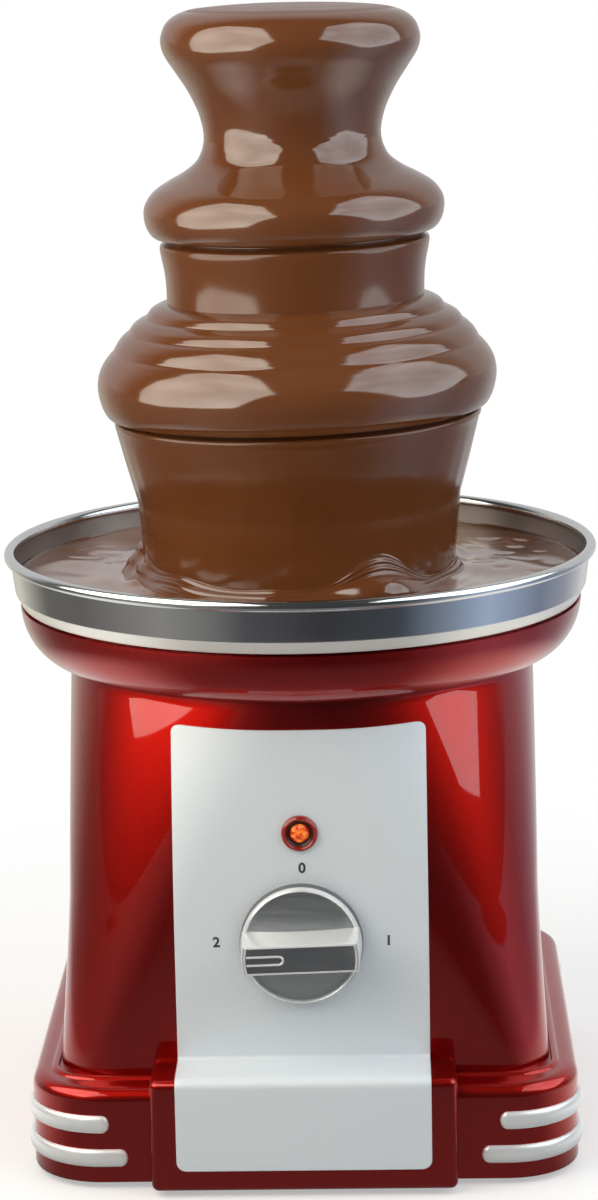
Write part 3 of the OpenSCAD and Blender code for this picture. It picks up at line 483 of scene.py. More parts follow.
def panel_sheet():
    share = np.linspace(-1, 1, PANEL_COLUMNS)
    points, faces = [], []
    rows = panel_rows()
    for kind, spot in rows:
        level = spot if kind == "body" else spot[1]
        cut = max(corner_cut(PANEL_TOP - level, PANEL_TOP_R),
                  corner_cut(level - PANEL_END, PANEL_END_R))
        arch = PANEL_ARCH * max(0.0, 1 - (PANEL_TOP - level) / ARCH_REACH) ** 2
        for x in share * (PANEL_HALF - cut):
            z = level + arch * (1 - (x / PANEL_HALF) ** 2)
            y = -(body_front(x, z) + PANEL_LIFT + PANEL_T) if kind == "body" else spot[0]
            points.append((x * MM, y * MM, z * MM))
    for r in range(len(rows) - 1):
        for c in range(PANEL_COLUMNS - 1):
            a = r * PANEL_COLUMNS + c
            faces.append((a, a + PANEL_COLUMNS, a + PANEL_COLUMNS + 1, a + 1))
    sheet = placed("panel_face", listed("panel_face", points, faces))
    thick = sheet.modifiers.new("thickness", "SOLIDIFY")
    thick.thickness = PANEL_T * MM
    thick.offset = -1.0
    soft = sheet.modifiers.new("soft_edge", "BEVEL")
    soft.width = PANEL_SOFT * MM
    soft.segments = 3
    soft.limit_method = "ANGLE"
    soft.angle_limit = math.radians(50)
    whole = settled(sheet)
    bpy.data.objects.remove(sheet)
    close_up(whole, 40, FINE_MERGE)
    return whole


panel_silver = silver_spray("panel_silver", (0.70, 0.75, 0.79), (0.78, 0.83, 0.87), 0.44, 0.15)
add_piece("panel_sheet", panel_sheet(), panel_silver, "root", "silver_paint", "control_panel")

FRONT_TILT = math.radians(90.0) + math.atan((BODY_ROUND_R - FOOT_HALF) / (BODY_FLAT_TOP - BODY_FLAT_LOW))


def on_front(height, x=0.0):
    return (Matrix.Translation((x * MM, -body_front(x, height) * MM, height * MM))
            @ Matrix.Rotation(FRONT_TILT, 4, "X"))


def printed_number(name, digit, x, height):
    size, bold, film, sunk = 4.7, 0.13, 0.05, 0.03
    word = bpy.data.curves.new(name, "FONT")
    word.body = digit
    word.align_x, word.align_y = "CENTER", "CENTER"
    word.size = size * MM
    word.offset = bold * MM
    word.extrude = film * MM
    obj = placed(name, word)
    mesh = settled(obj)
    bpy.data.objects.remove(obj)
    lift = PANEL_LIFT + PANEL_T + film - sunk
    mesh.transform(on_front(height, x) @ Matrix.Translation((0, 0, lift * MM)))
    close_up(mesh, 30)
    return mesh


number_ink = grained("number_ink", (0.035, 0.037, 0.04), (0.05, 0.05, 0.055), 0.5, 1500, 0.01)
for digit, x, height in (("0", 0.6, 104.7), ("1", 28.2, 80.0), ("2", -27.6, 80.0)):
    add_piece("dial_number_" + digit, printed_number("dial_number_" + digit, digit, x, height), number_ink,
              "root", "silver_paint")

# Pilot lamp.
# A neon bulb glows behind a small cut-glass-like lens, in a red moulded bezel pushed through the panel.
# Bezel and lens are clear tinted plastic; the lens is lit orange from behind.
LAMP_AT = 116.5
FACETS, FACET_DEEP, FACET_R, FACET_SPAN = 9, 0.14, 2.1, 1.2


def lamp_lens(place):
    turn = full_turn(120)
    line = [(3.15, -1.0), (3.15, 1.0), (3.0, 1.5), (2.6, 1.9), (2.1, 2.2), (1.5, 2.42), (0.8, 2.55), (0.3, 2.6)]
    rings = []
    for r, z in line:
        cut = FACET_DEEP * np.cos(turn * FACETS) * max(0.0, 1 - abs(r - FACET_R) / FACET_SPAN)
        rings.append(spun(r, turn, z + cut))
    return skin("lamp_cap", rings, wrap=False, crease=60, place=place)


def colour_ramp(tree, share, *stops):
    ramp = node(tree, "ValToRGB")
    points = ramp.color_ramp.elements
    for stop in stops[1:-1]:
        points.new(stop[0])
    for point, (at, colour) in zip(points, stops):
        point.position = at
        point.color = (*colour, 1.0)
    plug(tree, share, ramp.inputs["Fac"])
    return ramp.outputs["Color"]


def glowing_orange():
    finish, tree, shader = new_finish("glowing_orange", (0.75, 0.10, 0.01), 0.16)
    glow = colour_ramp(tree, noise_on(tree, 420, 2.0),
                       (0.36, (0.50, 0.022, 0.002)), (0.66, (0.98, 0.27, 0.035)))
    plug(tree, glow, shader.inputs["Emission Color"])
    plug(tree, glow, shader.inputs["Base Color"])
    fill(shader, {"Emission Strength": 0.42, "Coat Weight": 0.6})
    return finish


def tinted_red():
    finish, tree, shader = new_finish("tinted_red", (0.45, 0.012, 0.004), 0.14)
    depth = noise_on(tree, 300, 2.0)
    two_tone(tree, shader, depth, (0.20, 0.006, 0.003), (0.34, 0.012, 0.005))
    plug(tree, ranged(tree, depth, 0.0, 1.0, 0.01, 0.06), shader.inputs["Emission Strength"])
    fill(shader, {"Emission Color": (0.9, 0.06, 0.01, 1.0), "Coat Weight": 0.7})
    return finish


lamp_place = on_front(LAMP_AT)
bezel_line = [(4.45, -6.0), (4.45, 1.9), (4.55, 2.3), (4.8, 2.62), (5.15, 2.72), (5.5, 2.55), (5.78, 2.15),
              (5.92, 1.6), (5.95, 1.12), (4.6, 1.12), (4.6, -6.0)]
sleeve_line = [(3.1, -5.0), (3.1, 1.3), (3.5, 1.35), (4.0, 1.6), (4.3, 2.0), (4.42, 2.1), (4.42, -5.0)]
lamp_red = tinted_red()
add_piece("lamp_ring", turned("lamp_ring", bezel_line, place=lamp_place), lamp_red,
          "root", "lamp_red", "lamp_bezel")
# The sleeve's near-black red is painted shade: it darkens the recess between bezel and lens.
lamp_recess_painted_shade = grained("lamp_recess_painted_shade", (0.020, 0.003, 0.002), (0.040, 0.005, 0.003), 0.35, 700, 0.02)
add_piece("lamp_sleeve", turned("lamp_sleeve", sleeve_line, place=lamp_place), lamp_recess_painted_shade, "root", "lamp_red")
lamp_orange = glowing_orange()
add_piece("lamp_cap", lamp_lens(lamp_place), lamp_orange, "root", "lamp_red", "lamp_lens")
dress(lamp_orange, "lamp_bulb")

# Switch and knob.
# A three-way rotary switch sits behind the panel on a plated nut; the knob pushes on its spindle.
# The knob is metallised plastic: a bright chamfered rim, two dished halves, a grip bar and a pointer.
KNOB_AT, KNOB_LIFT, KNOB_SET = 80.0, 1.9, math.radians(1.6)
FACE_R, FACE_LOW, FACE_HIGH = 18.25, 5.5, 8.0
EDGE_FROM, EDGE_TOP = 19.52, 4.9
BAR_HALF, BAR_R, BAR_TOP, BAR_ROUND, BAR_DISH = 4.75, 19.1, 20.1, 0.6, 0.12
FACING_OUT = 0.9


def knob_disc(place):
    line = [
        (4.3, 7.3), (7.0, 7.15), (10.0, 6.9), (13.0, 6.5), (15.5, 6.1), (17.2, 5.8), (FACE_R, 5.8), (18.3, 6.3),
        (18.5, 6.7), (18.75, 6.85), (19.0, 6.7), (19.25, 6.2), (19.45, 5.4), (EDGE_FROM, EDGE_TOP),
        (19.6, 4.55), (19.85, 4.0), (20.0, 3.4), (20.0, 2.2), (19.85, KNOB_LIFT), (17.5, KNOB_LIFT),
        (17.5, 4.4), (4.3, 4.4),
    ]
    return turned("knob_disc", line, count=160, place=place, crease=30)


def bar_ring(half, reach, height):
    across, round_end = 29, 11
    x_end = math.sqrt(reach**2 - half**2)
    tip = math.asin(half / reach)
    top = [(x, half) for x in np.linspace(-x_end, x_end, across)]
    right = [(reach * math.cos(a), reach * math.sin(a)) for a in np.linspace(tip, -tip, round_end)[1:-1]]
    low = [(x, -half) for x in np.linspace(x_end, -x_end, across)]
    left = [(-reach * math.cos(a), reach * math.sin(a)) for a in np.linspace(-tip, tip, round_end)[1:-1]]
    return [(x, y, height) for x, y in top + right + low + left]


def knob_bar(place):
    steps = ((0.9, 0.6, 4.6), (0.75, 0.5, 7.0), (0.5, 0.3, 10.0), (0.2, 0.0, 15.0),
             (0.0, -0.3, BAR_TOP - BAR_ROUND))
    rings = [bar_ring(BAR_HALF + wider, BAR_R + longer, height) for wider, longer, height in steps]
    for a in np.radians(np.linspace(0, 90, 7))[1:]:
        inset = BAR_ROUND * (1 - math.cos(a))
        height = BAR_TOP - BAR_ROUND * (1 - math.sin(a))
        rings.append(bar_ring(BAR_HALF - inset, BAR_R - 0.3 - 1.8 * inset, height))
    rings.append(bar_ring(BAR_HALF - BAR_ROUND - BAR_DISH, BAR_R - 1.55, BAR_TOP - BAR_DISH))
    return skin("knob_bar", rings, wrap=False, crease=36, place=place)


def pointer_bead(place):
    left, right, half, thick, sunk = -17.2, -6.9, 1.35, 0.4, 0.14
    line = [(left, half), (right, half)]
    line += [(right + half * math.sin(a), half * math.cos(a))
             for a in np.radians(np.linspace(0, 180, 13))[1:-1]]
    line += [(right, -half), (left, -half)]
    rings = []
    for i, (x, y) in enumerate(line):
        ahead = np.array(line[min(i + 1, len(line) - 1)]) - np.array(line[max(i - 1, 0)])
        side = np.array([-ahead[1], ahead[0]]) / np.hypot(*ahead)
        rings.append([(x + side[0] * thick * math.cos(a), y + side[1] * thick * math.cos(a),
                       BAR_TOP - sunk + thick * math.sin(a))
                      for a in full_turn(12)])
    return skin("pointer_bead", rings, wrap=False, crease=60, place=place)


def painted_shade_silver(name, first, second):
    return grained(name, first, second, 0.34, 900, 0.015, 0.90,
                   stretch=(0.06, 1.0, 1.0), strength=0.2, haze=(-0.04, 0.06))


# Faces of the one knob get lit and shaded copies of its silver: painted shade on the disc halves and bar face,
# a painted shadow line on the outer edge.
def shade_knob_faces(mesh, place):
    back = place.inverted()
    for face in mesh.polygons:
        spot = back @ face.center / MM
        out = (back.to_3x3() @ face.normal).z
        on_shaded_disc = out > FACING_OUT and spot.xy.length < FACE_R and FACE_LOW < spot.z < FACE_HIGH
        on_shadow_edge = spot.xy.length > EDGE_FROM and spot.z < EDGE_TOP
        on_top = BAR_TOP - 0.2 < spot.z < BAR_TOP - 0.1
        on_shaded_bar_face = out > FACING_OUT and on_top and abs(spot.y) < BAR_HALF - BAR_ROUND
        face.material_index = 3 if on_shaded_bar_face else 2 if on_shadow_edge else 1 if on_shaded_disc else 0


knob_place = on_front(KNOB_AT) @ Matrix.Rotation(KNOB_SET, 4, "Z")
knob_mesh = joined("knob_cap", knob_disc(knob_place), knob_bar(knob_place), pointer_bead(knob_place))
bright_silver = grained("bright_silver", (0.79, 0.81, 0.825), (0.86, 0.875, 0.88), 0.20, 900, 0.01, 0.40,
                        detail=2.0, strength=0.15, haze=(-0.02, 0.06))
add_piece("knob_cap", knob_mesh, bright_silver, "knob", "knob_silver", "control_knob")
# Darker copies of the same silver: painted shade on the disc halves, a painted shadow line on the outer edge,
# deeper painted shade on the bar face.
knob_mesh.materials.append(painted_shade_silver("painted_shade_silver", (0.47, 0.495, 0.515), (0.56, 0.585, 0.60)))
knob_mesh.materials.append(grained("knob_edge_painted_shadow", (0.10, 0.105, 0.11), (0.14, 0.145, 0.15), 0.42, 900, 0.02))
knob_mesh.materials.append(painted_shade_silver("painted_deep_shade_silver", (0.29, 0.305, 0.325), (0.37, 0.385, 0.40)))
shade_knob_faces(knob_mesh, knob_place)
dress(zinc_plate, "switch_nut", "switch_spindle")
dress(white_plastic, "switch_body")

# Bowl collar.
# A ring with a wide rounded wall closes the body's top and carries the bowl.
# It is moulded in plastic and has the same red lacquer as the body.
ROUND = 224
SEAM_R, SEAM_Z = 95.0, 179.0
NECK_R, NECK_Z, NECK_TURN = 80.0, 160.0, 84


def collar_line():
    flare = [(NECK_R + (SEAM_R - NECK_R) * math.sin(a), SEAM_Z - (SEAM_Z - NECK_Z) * math.cos(a))
             for a in np.radians(np.linspace(0, NECK_TURN, 30))]
    lip = [(SEAM_R - 0.05, 177.4), (SEAM_R - 0.05, 178.1)]
    inside = [(92.2, 178.1), (91.9, 178.1), (86.0, 166.6), (66.0, 162.5), (66.0, 160.0)]
    return flare + lip + inside


add_piece("collar_ring", turned("collar_ring", collar_line(), count=ROUND, crease=30), red_paint,
          "root", "red_paint", "bowl_collar")

# Bowl.
# A pressed stainless dish with a stepped wall and a rolled rim, bolted to the collar by welded studs.
# Its skin is brushed round; a ring heater, a thermostat and a fuse are clamped under the floor.
RIM_R, RIM_Z, RIM_ROLL = 98.2, 195.0, 1.8
FILM_LOW, STEP_LOW, STEP_TOP = 180.0, 178.95, 182.9


def bowl_line():
    outside = [
        (20.0, 166.8), (60.0, 166.8), (85.0, 166.8), (86.0, 166.95), (86.6, 167.6), (92.0, 178.5),
        (92.4, 178.8), (93.2, 178.9), (94.2, 178.9), (94.55, 179.05), (94.75, 179.4), (95.6, 181.05),
        (96.45, 182.7), (96.58, 183.0), (96.66, 183.4), (97.9, 193.0),
    ]
    roll = [(RIM_R + RIM_ROLL * math.cos(a), RIM_Z + RIM_ROLL * math.sin(a))
            for a in np.radians(np.linspace(-75, 215, 22))]
    inside = [(96.7, 193.0), (95.35, 182.4), (95.0, 181.5), (94.4, 180.4), (91.7, 180.2), (85.4, 168.0),
              (60.0, 168.0), (20.0, 168.0)]
    return outside + roll + inside


def maths(tree, operation, *values):
    sums = node(tree, "Math")
    sums.operation = operation
    for value, socket in zip(values, sums.inputs):
        plug(tree, value, socket)
    return sums.outputs["Value"]


def axes(tree, vector):
    parts = node(tree, "SeparateXYZ")
    plug(tree, vector, parts.inputs["Vector"])
    return parts.outputs


def round_brushed_steel(name, first, second, low, high):
    finish, tree, shader = new_finish(name, first, low, 1.0)
    spot = axes(tree, node(tree, "TexCoord").outputs["Object"])
    round_way = node(tree, "CombineXYZ")
    plug(tree, maths(tree, "ARCTAN2", spot["Y"], spot["X"]), round_way.inputs["X"])
    plug(tree, spot["Z"], round_way.inputs["Z"])
    noise = node(tree, "TexNoise")
    fill(noise, {"Scale": 130.0, "Detail": 3.0})
    plug(tree, round_way.outputs["Vector"], noise.inputs["Vector"])
    grain_all(tree, shader, noise.outputs["Fac"], first, second, low, high, 0.01, 0.08)
    return finish


def part_finishes(mesh):
    for face in mesh.polygons:
        spot = face.center / MM
        inward = face.normal.xy.dot(spot.xy) < 0
        if inward and FILM_LOW < spot.z < RIM_Z - 0.5:
            face.material_index = 1
        elif not inward and STEP_LOW < spot.z < STEP_TOP:
            face.material_index = 2


bowl_steel = round_brushed_steel("bowl_steel", (0.69, 0.70, 0.71), (0.75, 0.755, 0.76), low=0.09, high=0.14)
bowl_mesh = turned("bowl_dish", bowl_line(), count=ROUND, crease=34)
add_piece("bowl_dish", bowl_mesh, bowl_steel, "root", "bowl_steel", "bowl")
bowl_mesh.materials.append(grained("filmed_steel", (0.24, 0.20, 0.18), (0.36, 0.32, 0.30), 0.34, 55, 0.05, 0.9,
                                   (1.0, 1.0, 3.0)))
# The outer step of the one steel dish gets a cream, partly diffuse copy of the steel: a painted highlight for
# the light it catches from below.
highlight_step_finish, highlight_step_tree, highlight_step_shader = new_finish("step_painted_highlight", (0.85, 0.84, 0.80), 0.27, 0.5)
two_tone(highlight_step_tree, highlight_step_shader, noise_on(highlight_step_tree, 14), (0.81, 0.80, 0.76), (0.89, 0.88, 0.84))
bowl_mesh.materials.append(highlight_step_finish)
part_finishes(bowl_mesh)
heater_steel = grained("heater_steel", (0.30, 0.29, 0.28), (0.40, 0.39, 0.37), 0.38, 300, 0.03, 1.0)
dress(zinc_plate, "bowl_studs", "bowl_nuts")
dress(heater_steel, "heating_element")
dress(white_plastic, "thermostat", "thermal_fuse")

# Tower.
# A tube holds a plastic lifting screw and carries two tier plates and a crown cup, all stacked on it.
# Tube and tiers are spun stainless steel, hidden while the chocolate runs.
tower_steel = round_brushed_steel("tower_steel", (0.56, 0.56, 0.56), (0.66, 0.66, 0.65), low=0.18, high=0.30)
dress(tower_steel, "tower_tube", "lower_tier", "middle_tier", "crown")
dress(white_plastic, "screw")

# Running chocolate.
# Melted milk chocolate wells up at the crown and falls in closed curtains from tier to tier to the bowl.
# It is a smooth, glossy, thick liquid: soft ridges where it lands, folds and ripples where it meets the pool.
POOL_Z = 187.5
CHOC_SIDES, LIQUID_CREASE = 288, 75
DARK_BROWN, LIGHT_BROWN = (0.115, 0.036, 0.0105), (0.135, 0.044, 0.0135)
HAZE_SPREAD = 0.02
CHOC_SEED, CHOC_SWAY = 2, 0.28
LEAN_AT, LEAN_BY = (200.0, 240.0, 275.0, 320.0, 345.0, 380.0), (0.0, 1.3, 1.3, 1.0, 0.3, 0.0)
around = full_turn(CHOC_SIDES)


def milk_chocolate(name, gloss, haze, first=DARK_BROWN, second=LIGHT_BROWN, wet=0.0):
    finish, tree, shader = new_finish(name, first, haze)
    cloud = noise_on(tree, 26, 3.0)
    two_tone(tree, shader, spread(tree, cloud, 0.0, 1.0), first, second)
    plug(tree, spread(tree, cloud, haze - HAZE_SPREAD, haze + HAZE_SPREAD), shader.inputs["Roughness"])
    rough_up(tree, shader, noise_on(tree, 90, 2.0), 0.05, 0.12)
    fill(shader, {"Subsurface Weight": 0.15, "Subsurface Radius": (1.0, 0.45, 0.2), "Subsurface Scale": 0.0015,
                  "IOR": gloss, "Coat Weight": wet, "Coat IOR": 1.46, "Coat Roughness": 0.12})
    return finish


def lean(z):
    return np.tan(np.radians(np.interp(z, LEAN_AT, LEAN_BY)))


def poured(reach, height, slope=0.0, turn=around):
    x, y = reach * np.sin(turn), -reach * np.cos(turn)
    return np.stack(np.broadcast_arrays(x, y, height + slope * x), 1)


def waver(seed, counts, size):
    total = np.zeros(CHOC_SIDES)
    for k in counts:
        total += np.sin(k * around + seed * 1.7 + k * k * 0.61) / len(counts)
    return total * size


def liquid_rings(line, seed, sway):
    rings = []
    for r, z in line:
        shake = waver(seed + z * 0.013, (2, 3, 5), sway)
        shake *= min(r / 30.0, 1.0)
        rings.append(poured(r + shake, z + 0.5 * shake, lean(z)))
    return rings


def liquid_skin(name, line, inside):
    rings = liquid_rings(line, CHOC_SEED, CHOC_SWAY) + liquid_rings(inside, CHOC_SEED, 0.0)
    return skin(name, rings, crease=LIQUID_CREASE)


def rounded_line(line, steps=6):
    line = np.asarray(line, float)
    ahead = np.vstack([line[1:], line[-1:] * 2 - line[-2:-1]])
    behind = np.vstack([line[:1] * 2 - line[1:2], line[:-1]])
    slope = (ahead - behind) / 2
    points = []
    for i in range(len(line) - 1):
        for t in np.linspace(0, 1, steps, endpoint=False):
            h1, h2 = 2 * t**3 - 3 * t**2 + 1, t**3 - 2 * t**2 + t
            h3, h4 = -2 * t**3 + 3 * t**2, t**3 - t**2
            points.append(h1 * line[i] + h2 * slope[i] + h3 * line[i + 1] + h4 * slope[i + 1])
    points.append(line[-1])
    return np.array(points)


crown_line = rounded_line([
    (29.4, 333.4), (29.4, 334.6), (29.6, 336.4), (30.1, 338.8), (31.3, 342.6), (34.4, 349.0), (38.6, 355.5),
    (41.6, 360.2), (42.8, 364.0), (42.5, 367.4), (40.8, 370.9), (37.5, 373.45), (33.0, 374.95), (28.5, 375.5),
    (24.5, 375.64), (20.5, 375.95), (16.5, 375.88), (12.5, 376.08), (8.5, 376.0), (4.5, 376.14), (0.0, 376.16),
])
crown_inside = [
    (0.0, 374.0), (30.0, 373.6), (37.0, 371.2), (40.4, 366.0), (40.6, 363.6), (36.6, 355.8), (32.4, 349.2),
    (29.4, 342.8), (28.0, 337.0), (27.8, 333.4),
]
middle_line = rounded_line([
    (43.0, 278.8), (43.0, 283.0), (43.2, 287.0), (43.7, 291.0), (44.4, 294.5), (44.9, 297.3), (44.7, 298.9),
    (43.3, 299.7), (42.1, 300.5), (42.6, 301.3), (44.8, 301.1), (47.3, 302.1), (49.3, 305.2), (50.0, 309.5),
    (49.2, 313.0), (46.4, 316.6), (41.8, 319.6), (36.6, 322.4), (32.2, 325.8), (30.2, 329.4), (29.5, 332.2),
    (29.4, 334.0), (29.4, 334.6),
])
middle_inside = [
    (27.8, 334.6), (28.4, 329.4), (30.8, 324.6), (35.6, 321.0), (41.0, 318.0), (45.2, 315.2), (47.4, 312.0),
    (48.0, 309.3), (47.2, 305.8), (45.2, 303.4), (40.6, 303.4), (38.6, 301.0), (39.2, 298.4), (42.4, 296.2),
    (42.0, 292.0), (41.6, 287.0), (41.4, 278.8),
]
lower_line = rounded_line([
    (61.2, 238.6), (61.6, 239.8), (61.2, 240.9), (59.0, 241.7), (57.4, 242.8), (58.2, 244.0), (61.4, 243.0),
    (63.4, 242.7), (64.7, 244.2), (65.9, 246.9), (66.7, 250.4), (66.9, 253.4), (66.3, 257.0), (64.8, 260.2),
    (62.8, 262.8), (61.4, 264.2), (60.9, 265.2), (59.6, 267.4), (57.7, 269.4), (56.2, 270.4), (55.6, 271.3),
    (54.3, 273.0), (52.0, 274.4), (50.3, 275.1), (49.7, 276.0), (48.4, 277.7), (46.2, 278.9), (44.0, 279.5),
    (41.5, 279.7),
])
chocolate = milk_chocolate("milk_chocolate", gloss=1.84, haze=0.10)
falling_chocolate = milk_chocolate("falling_chocolate", gloss=1.55, haze=0.15)
welling_chocolate = milk_chocolate("welling_chocolate", gloss=1.35, haze=0.25)


def pour(name, mesh, replaced, finish, low, high):
    add_piece(name, mesh, chocolate, "root", "chocolate", replaced)
    mesh.materials.append(finish)
    for face in mesh.polygons:
        face.material_index = 1 if low < face.center.z / MM < high else 0


crown_mesh = liquid_skin("crown_chocolate", crown_line, crown_inside)
pour("crown_chocolate", crown_mesh, "chocolate_crown", welling_chocolate, low=374.6, high=377.0)
middle_mesh = liquid_skin("middle_chocolate", middle_line, middle_inside)
pour("middle_chocolate", middle_mesh, "chocolate_middle", falling_chocolate, low=278.0, high=300.2)

CURTAIN_LIP = 238.6
CURTAIN_Z = (180.0, POOL_Z, 213.0, 227.0, CURTAIN_LIP)
CURTAIN_R = (52.3, 52.4, 54.4, 58.2, 61.2)
MOUND, SPLASH = (30, 16), (-88, 21)
BACK_SWELLS = ((150, 30, 2.5), (-150, 24, 3.0), (85, 20, 1.5))
FOOT_TALL = 1.8, ((*MOUND, 12.0), (-46, 18, 3.0), (-8, 12, 1.4), (*SPLASH, 9.8), *BACK_SWELLS)
FOOT_WIDE = 2.4, ((31, 16, 8.0), (-46, 20, 5.0), (-12, 14, 3.6), (*SPLASH, 6.4), *BACK_SWELLS)
FOOT_ROWS, CURTAIN_ROWS = 84, 26
SHELF_FROM, CLIMB_TO, CLIMB_SHARE = 0.50, 0.55, 0.22
CREST_STEP, CREST_AT, CREST_SPAN, CREST_RISE = 0.155, 0.28, 0.20, 0.34
FOLDS, FOLD_RISE, FOLD_REACH = 2.4, 0.30, 0.36
LOWER_SEED, LOWER_SWAY = 3, 0.3


def hump(centre, width):
    away = (around - math.radians(centre) + np.pi) % (2 * np.pi) - np.pi
    return np.exp(-(away / math.radians(width)) ** 2)


def curtain_radius(z):
    return np.interp(z, CURTAIN_Z, CURTAIN_R)


def swollen(start, swells):
    return sum((by * hump(turn, width) for turn, width, by in swells), start)


def foot_rings():
    mound, splash = hump(*MOUND), hump(*SPLASH)
    tall, wide = swollen(*FOOT_TALL), swollen(*FOOT_WIDE)
    lumps = waver(9, (11, 17, 23, 29), 2.6) * splash
    wander = 0.16 * np.sin(6 * around + 0.8) + 0.10 * np.sin(13 * around)
    rings = []
    for share in np.linspace(0, 1, FOOT_ROWS):
        shelf = min(max((share - SHELF_FROM) / (1 - SHELF_FROM), 0.0), 1.0)
        climb = min(share / CLIMB_TO, 1.0)
        bulge = CLIMB_SHARE * climb**2 * (3 - 2 * climb)
        bulge += (1 - CLIMB_SHARE) * math.sqrt(1 - (1 - shelf) ** 2)
        slope = mound * bulge + (1 - mound) * share**1.4
        crests = np.sin(2 * np.pi * share / CREST_STEP)
        crests = crests * math.exp(-((share - CREST_AT) / CREST_SPAN) ** 4) * mound
        folds = np.sin(2 * np.pi * (FOLDS * share + wander)) * share * (1.05 - share) * 1.8 * (1 - mound)
        z = POOL_Z + tall * (1 - share) + FOLD_RISE * folds * np.minimum(tall / 4, 1) - 1.2 * share**8
        reach = (curtain_radius(z) + wide * slope + CREST_RISE * crests
                 + FOLD_REACH * folds * np.minimum(wide / 3, 1.4) + lumps * math.sin(math.pi * share) * 0.6)
        rings.append(poured(reach, z))
    return rings[::-1], tall


def lower_skin():
    foot, tall = foot_rings()
    streak = waver(4, (17, 23, 31, 41), 0.22)
    outside = list(foot)
    for share in np.linspace(0, 1, CURTAIN_ROWS)[1:]:
        low = POOL_Z + tall
        z = low + (CURTAIN_LIP - low) * share
        reach = curtain_radius(z) + streak * 4 * share * (1 - share)
        outside.append(poured(reach, z, lean(z)))
    outside += liquid_rings(lower_line[1:], LOWER_SEED, LOWER_SWAY)
    inside_line = [
        (41.5, 277.6), (47.0, 274.0), (54.0, 268.0), (61.0, 258.0), (63.0, 250.0), (61.4, 246.0), (57.6, 246.4),
        (55.4, 243.0), (56.8, 240.0), (58.6, 238.0), (56.0, 227.0), (52.2, 213.0), (50.4, 196.0), (50.4, 186.3),
    ]
    inside = liquid_rings(inside_line, LOWER_SEED, 0.0)
    return skin("lower_chocolate", outside + inside, crease=LIQUID_CREASE)


pour("lower_chocolate", lower_skin(), "chocolate_lower", falling_chocolate, low=203.0, high=243.0)

POOL_SIDES = 432
POOL_IN, POOL_MID, POOL_OUT = 50.5, 75.0, 95.7
FALL_R, RIPPLE_RISE, RIPPLE_FADE = 54.0, 0.16, 6.0
CALM_FROM, CALM_SPAN = 91.0, 4.7
PILES = ((31, 18, 0.9, 9, 4.5), (-48, 16, 0.9, 8, 3.0), (-18, 9, 0.9, 5.5, 1.8), (-18, 9, 0.7, 10, 1.6),
         (-64, 5, 1.6, 6.0, 2.0))
WAVES, WAVE_TURN, WAVE_RISE = 7, 2.399, 0.0042
WRINKLE_DEEP, WRINKLE_WIDE, WRINKLE_BOW = 0.34, 1.7, 0.05
WRINKLES = (
    (66, 44, 4.0), (74, 30, 3.2), (79, 40, 5.0), (70, 18, 3.0), (83, 22, 3.6), (62, 4, 3.0), (76, 8, 4.4),
    (86, 2, 3.0), (68, -6, 2.6), (81, -12, 4.0), (60, 30, 2.4), (88, 34, 2.8), (-68, 26, 5.0), (-76, 20, 6.0),
    (-62, 14, 4.0), (-80, 34, 5.0), (-71, 42, 6.0),
)


def pool_waves(x, y):
    total = np.zeros_like(x)
    for i in range(WAVES):
        way = WAVE_TURN * i + 0.4
        length = 17.0 + 4.2 * ((i * 3) % 7)
        bend = 3.0 * np.sin((x * math.sin(way) - y * math.cos(way)) / (length * 0.7) + i)
        along = x * math.cos(way) + y * math.sin(way) + bend
        total += length * WAVE_RISE * np.sin(2 * np.pi * along / length + 1.3 * i)
    for wx, wy, length in WRINKLES:
        bow = WRINKLE_BOW * (x - wx) ** 2
        total -= WRINKLE_DEEP * np.exp(-(((x - wx) / length) ** 4) - ((y - wy - bow) / WRINKLE_WIDE) ** 2)
    return total


def pool_skin():
    turn = full_turn(POOL_SIDES)

    def swell(centre, width):
        shape = hump(centre, width)
        return np.interp(turn, np.append(around, 2 * np.pi), np.append(shape, shape[0]))

    piles = [(swell(centre, width), *rest) for centre, width, *rest in PILES]
    rings = []
    for reach in np.concatenate([np.linspace(POOL_IN, POOL_MID, 44), np.linspace(POOL_MID, POOL_OUT, 34)[1:]]):
        away = reach - FALL_R
        x, y = reach * np.sin(turn), -reach * np.cos(turn)
        phase = away * 1.2 + 2.0 * np.sin(2 * turn) + 1.2 * np.sin(5 * turn)
        ripple = RIPPLE_RISE * math.exp(-abs(away) / RIPPLE_FADE) * np.sin(phase)
        pile = sum(tall * shape * math.exp(-((away - out) / wide) ** 2) for shape, tall, out, wide in piles)
        fade = 1.0 - max(0.0, (reach - CALM_FROM) / CALM_SPAN) ** 2
        rings.append(poured(reach, POOL_Z + (ripple + pool_waves(x, y) + pile) * fade, turn=turn))
    for reach, z in ((95.95, 188.1), (95.75, 186.9), (95.3, 183.5), (POOL_IN, 183.5)):
        rings.append(poured(reach, z, turn=turn))
    return skin("bowl_chocolate", rings, crease=60)


# The pool's browns are lighter than the falling chocolate's: a lit copy of the same chocolate, painted light
# for the brighter pool.
lit_pool_chocolate = milk_chocolate("lit_pool_chocolate", gloss=1.31, haze=0.16, first=(0.175, 0.060, 0.019),
                                second=(0.205, 0.072, 0.024), wet=1.0)
add_piece("bowl_chocolate", pool_skin(), lit_pool_chocolate, "root", "chocolate", "chocolate_pool")

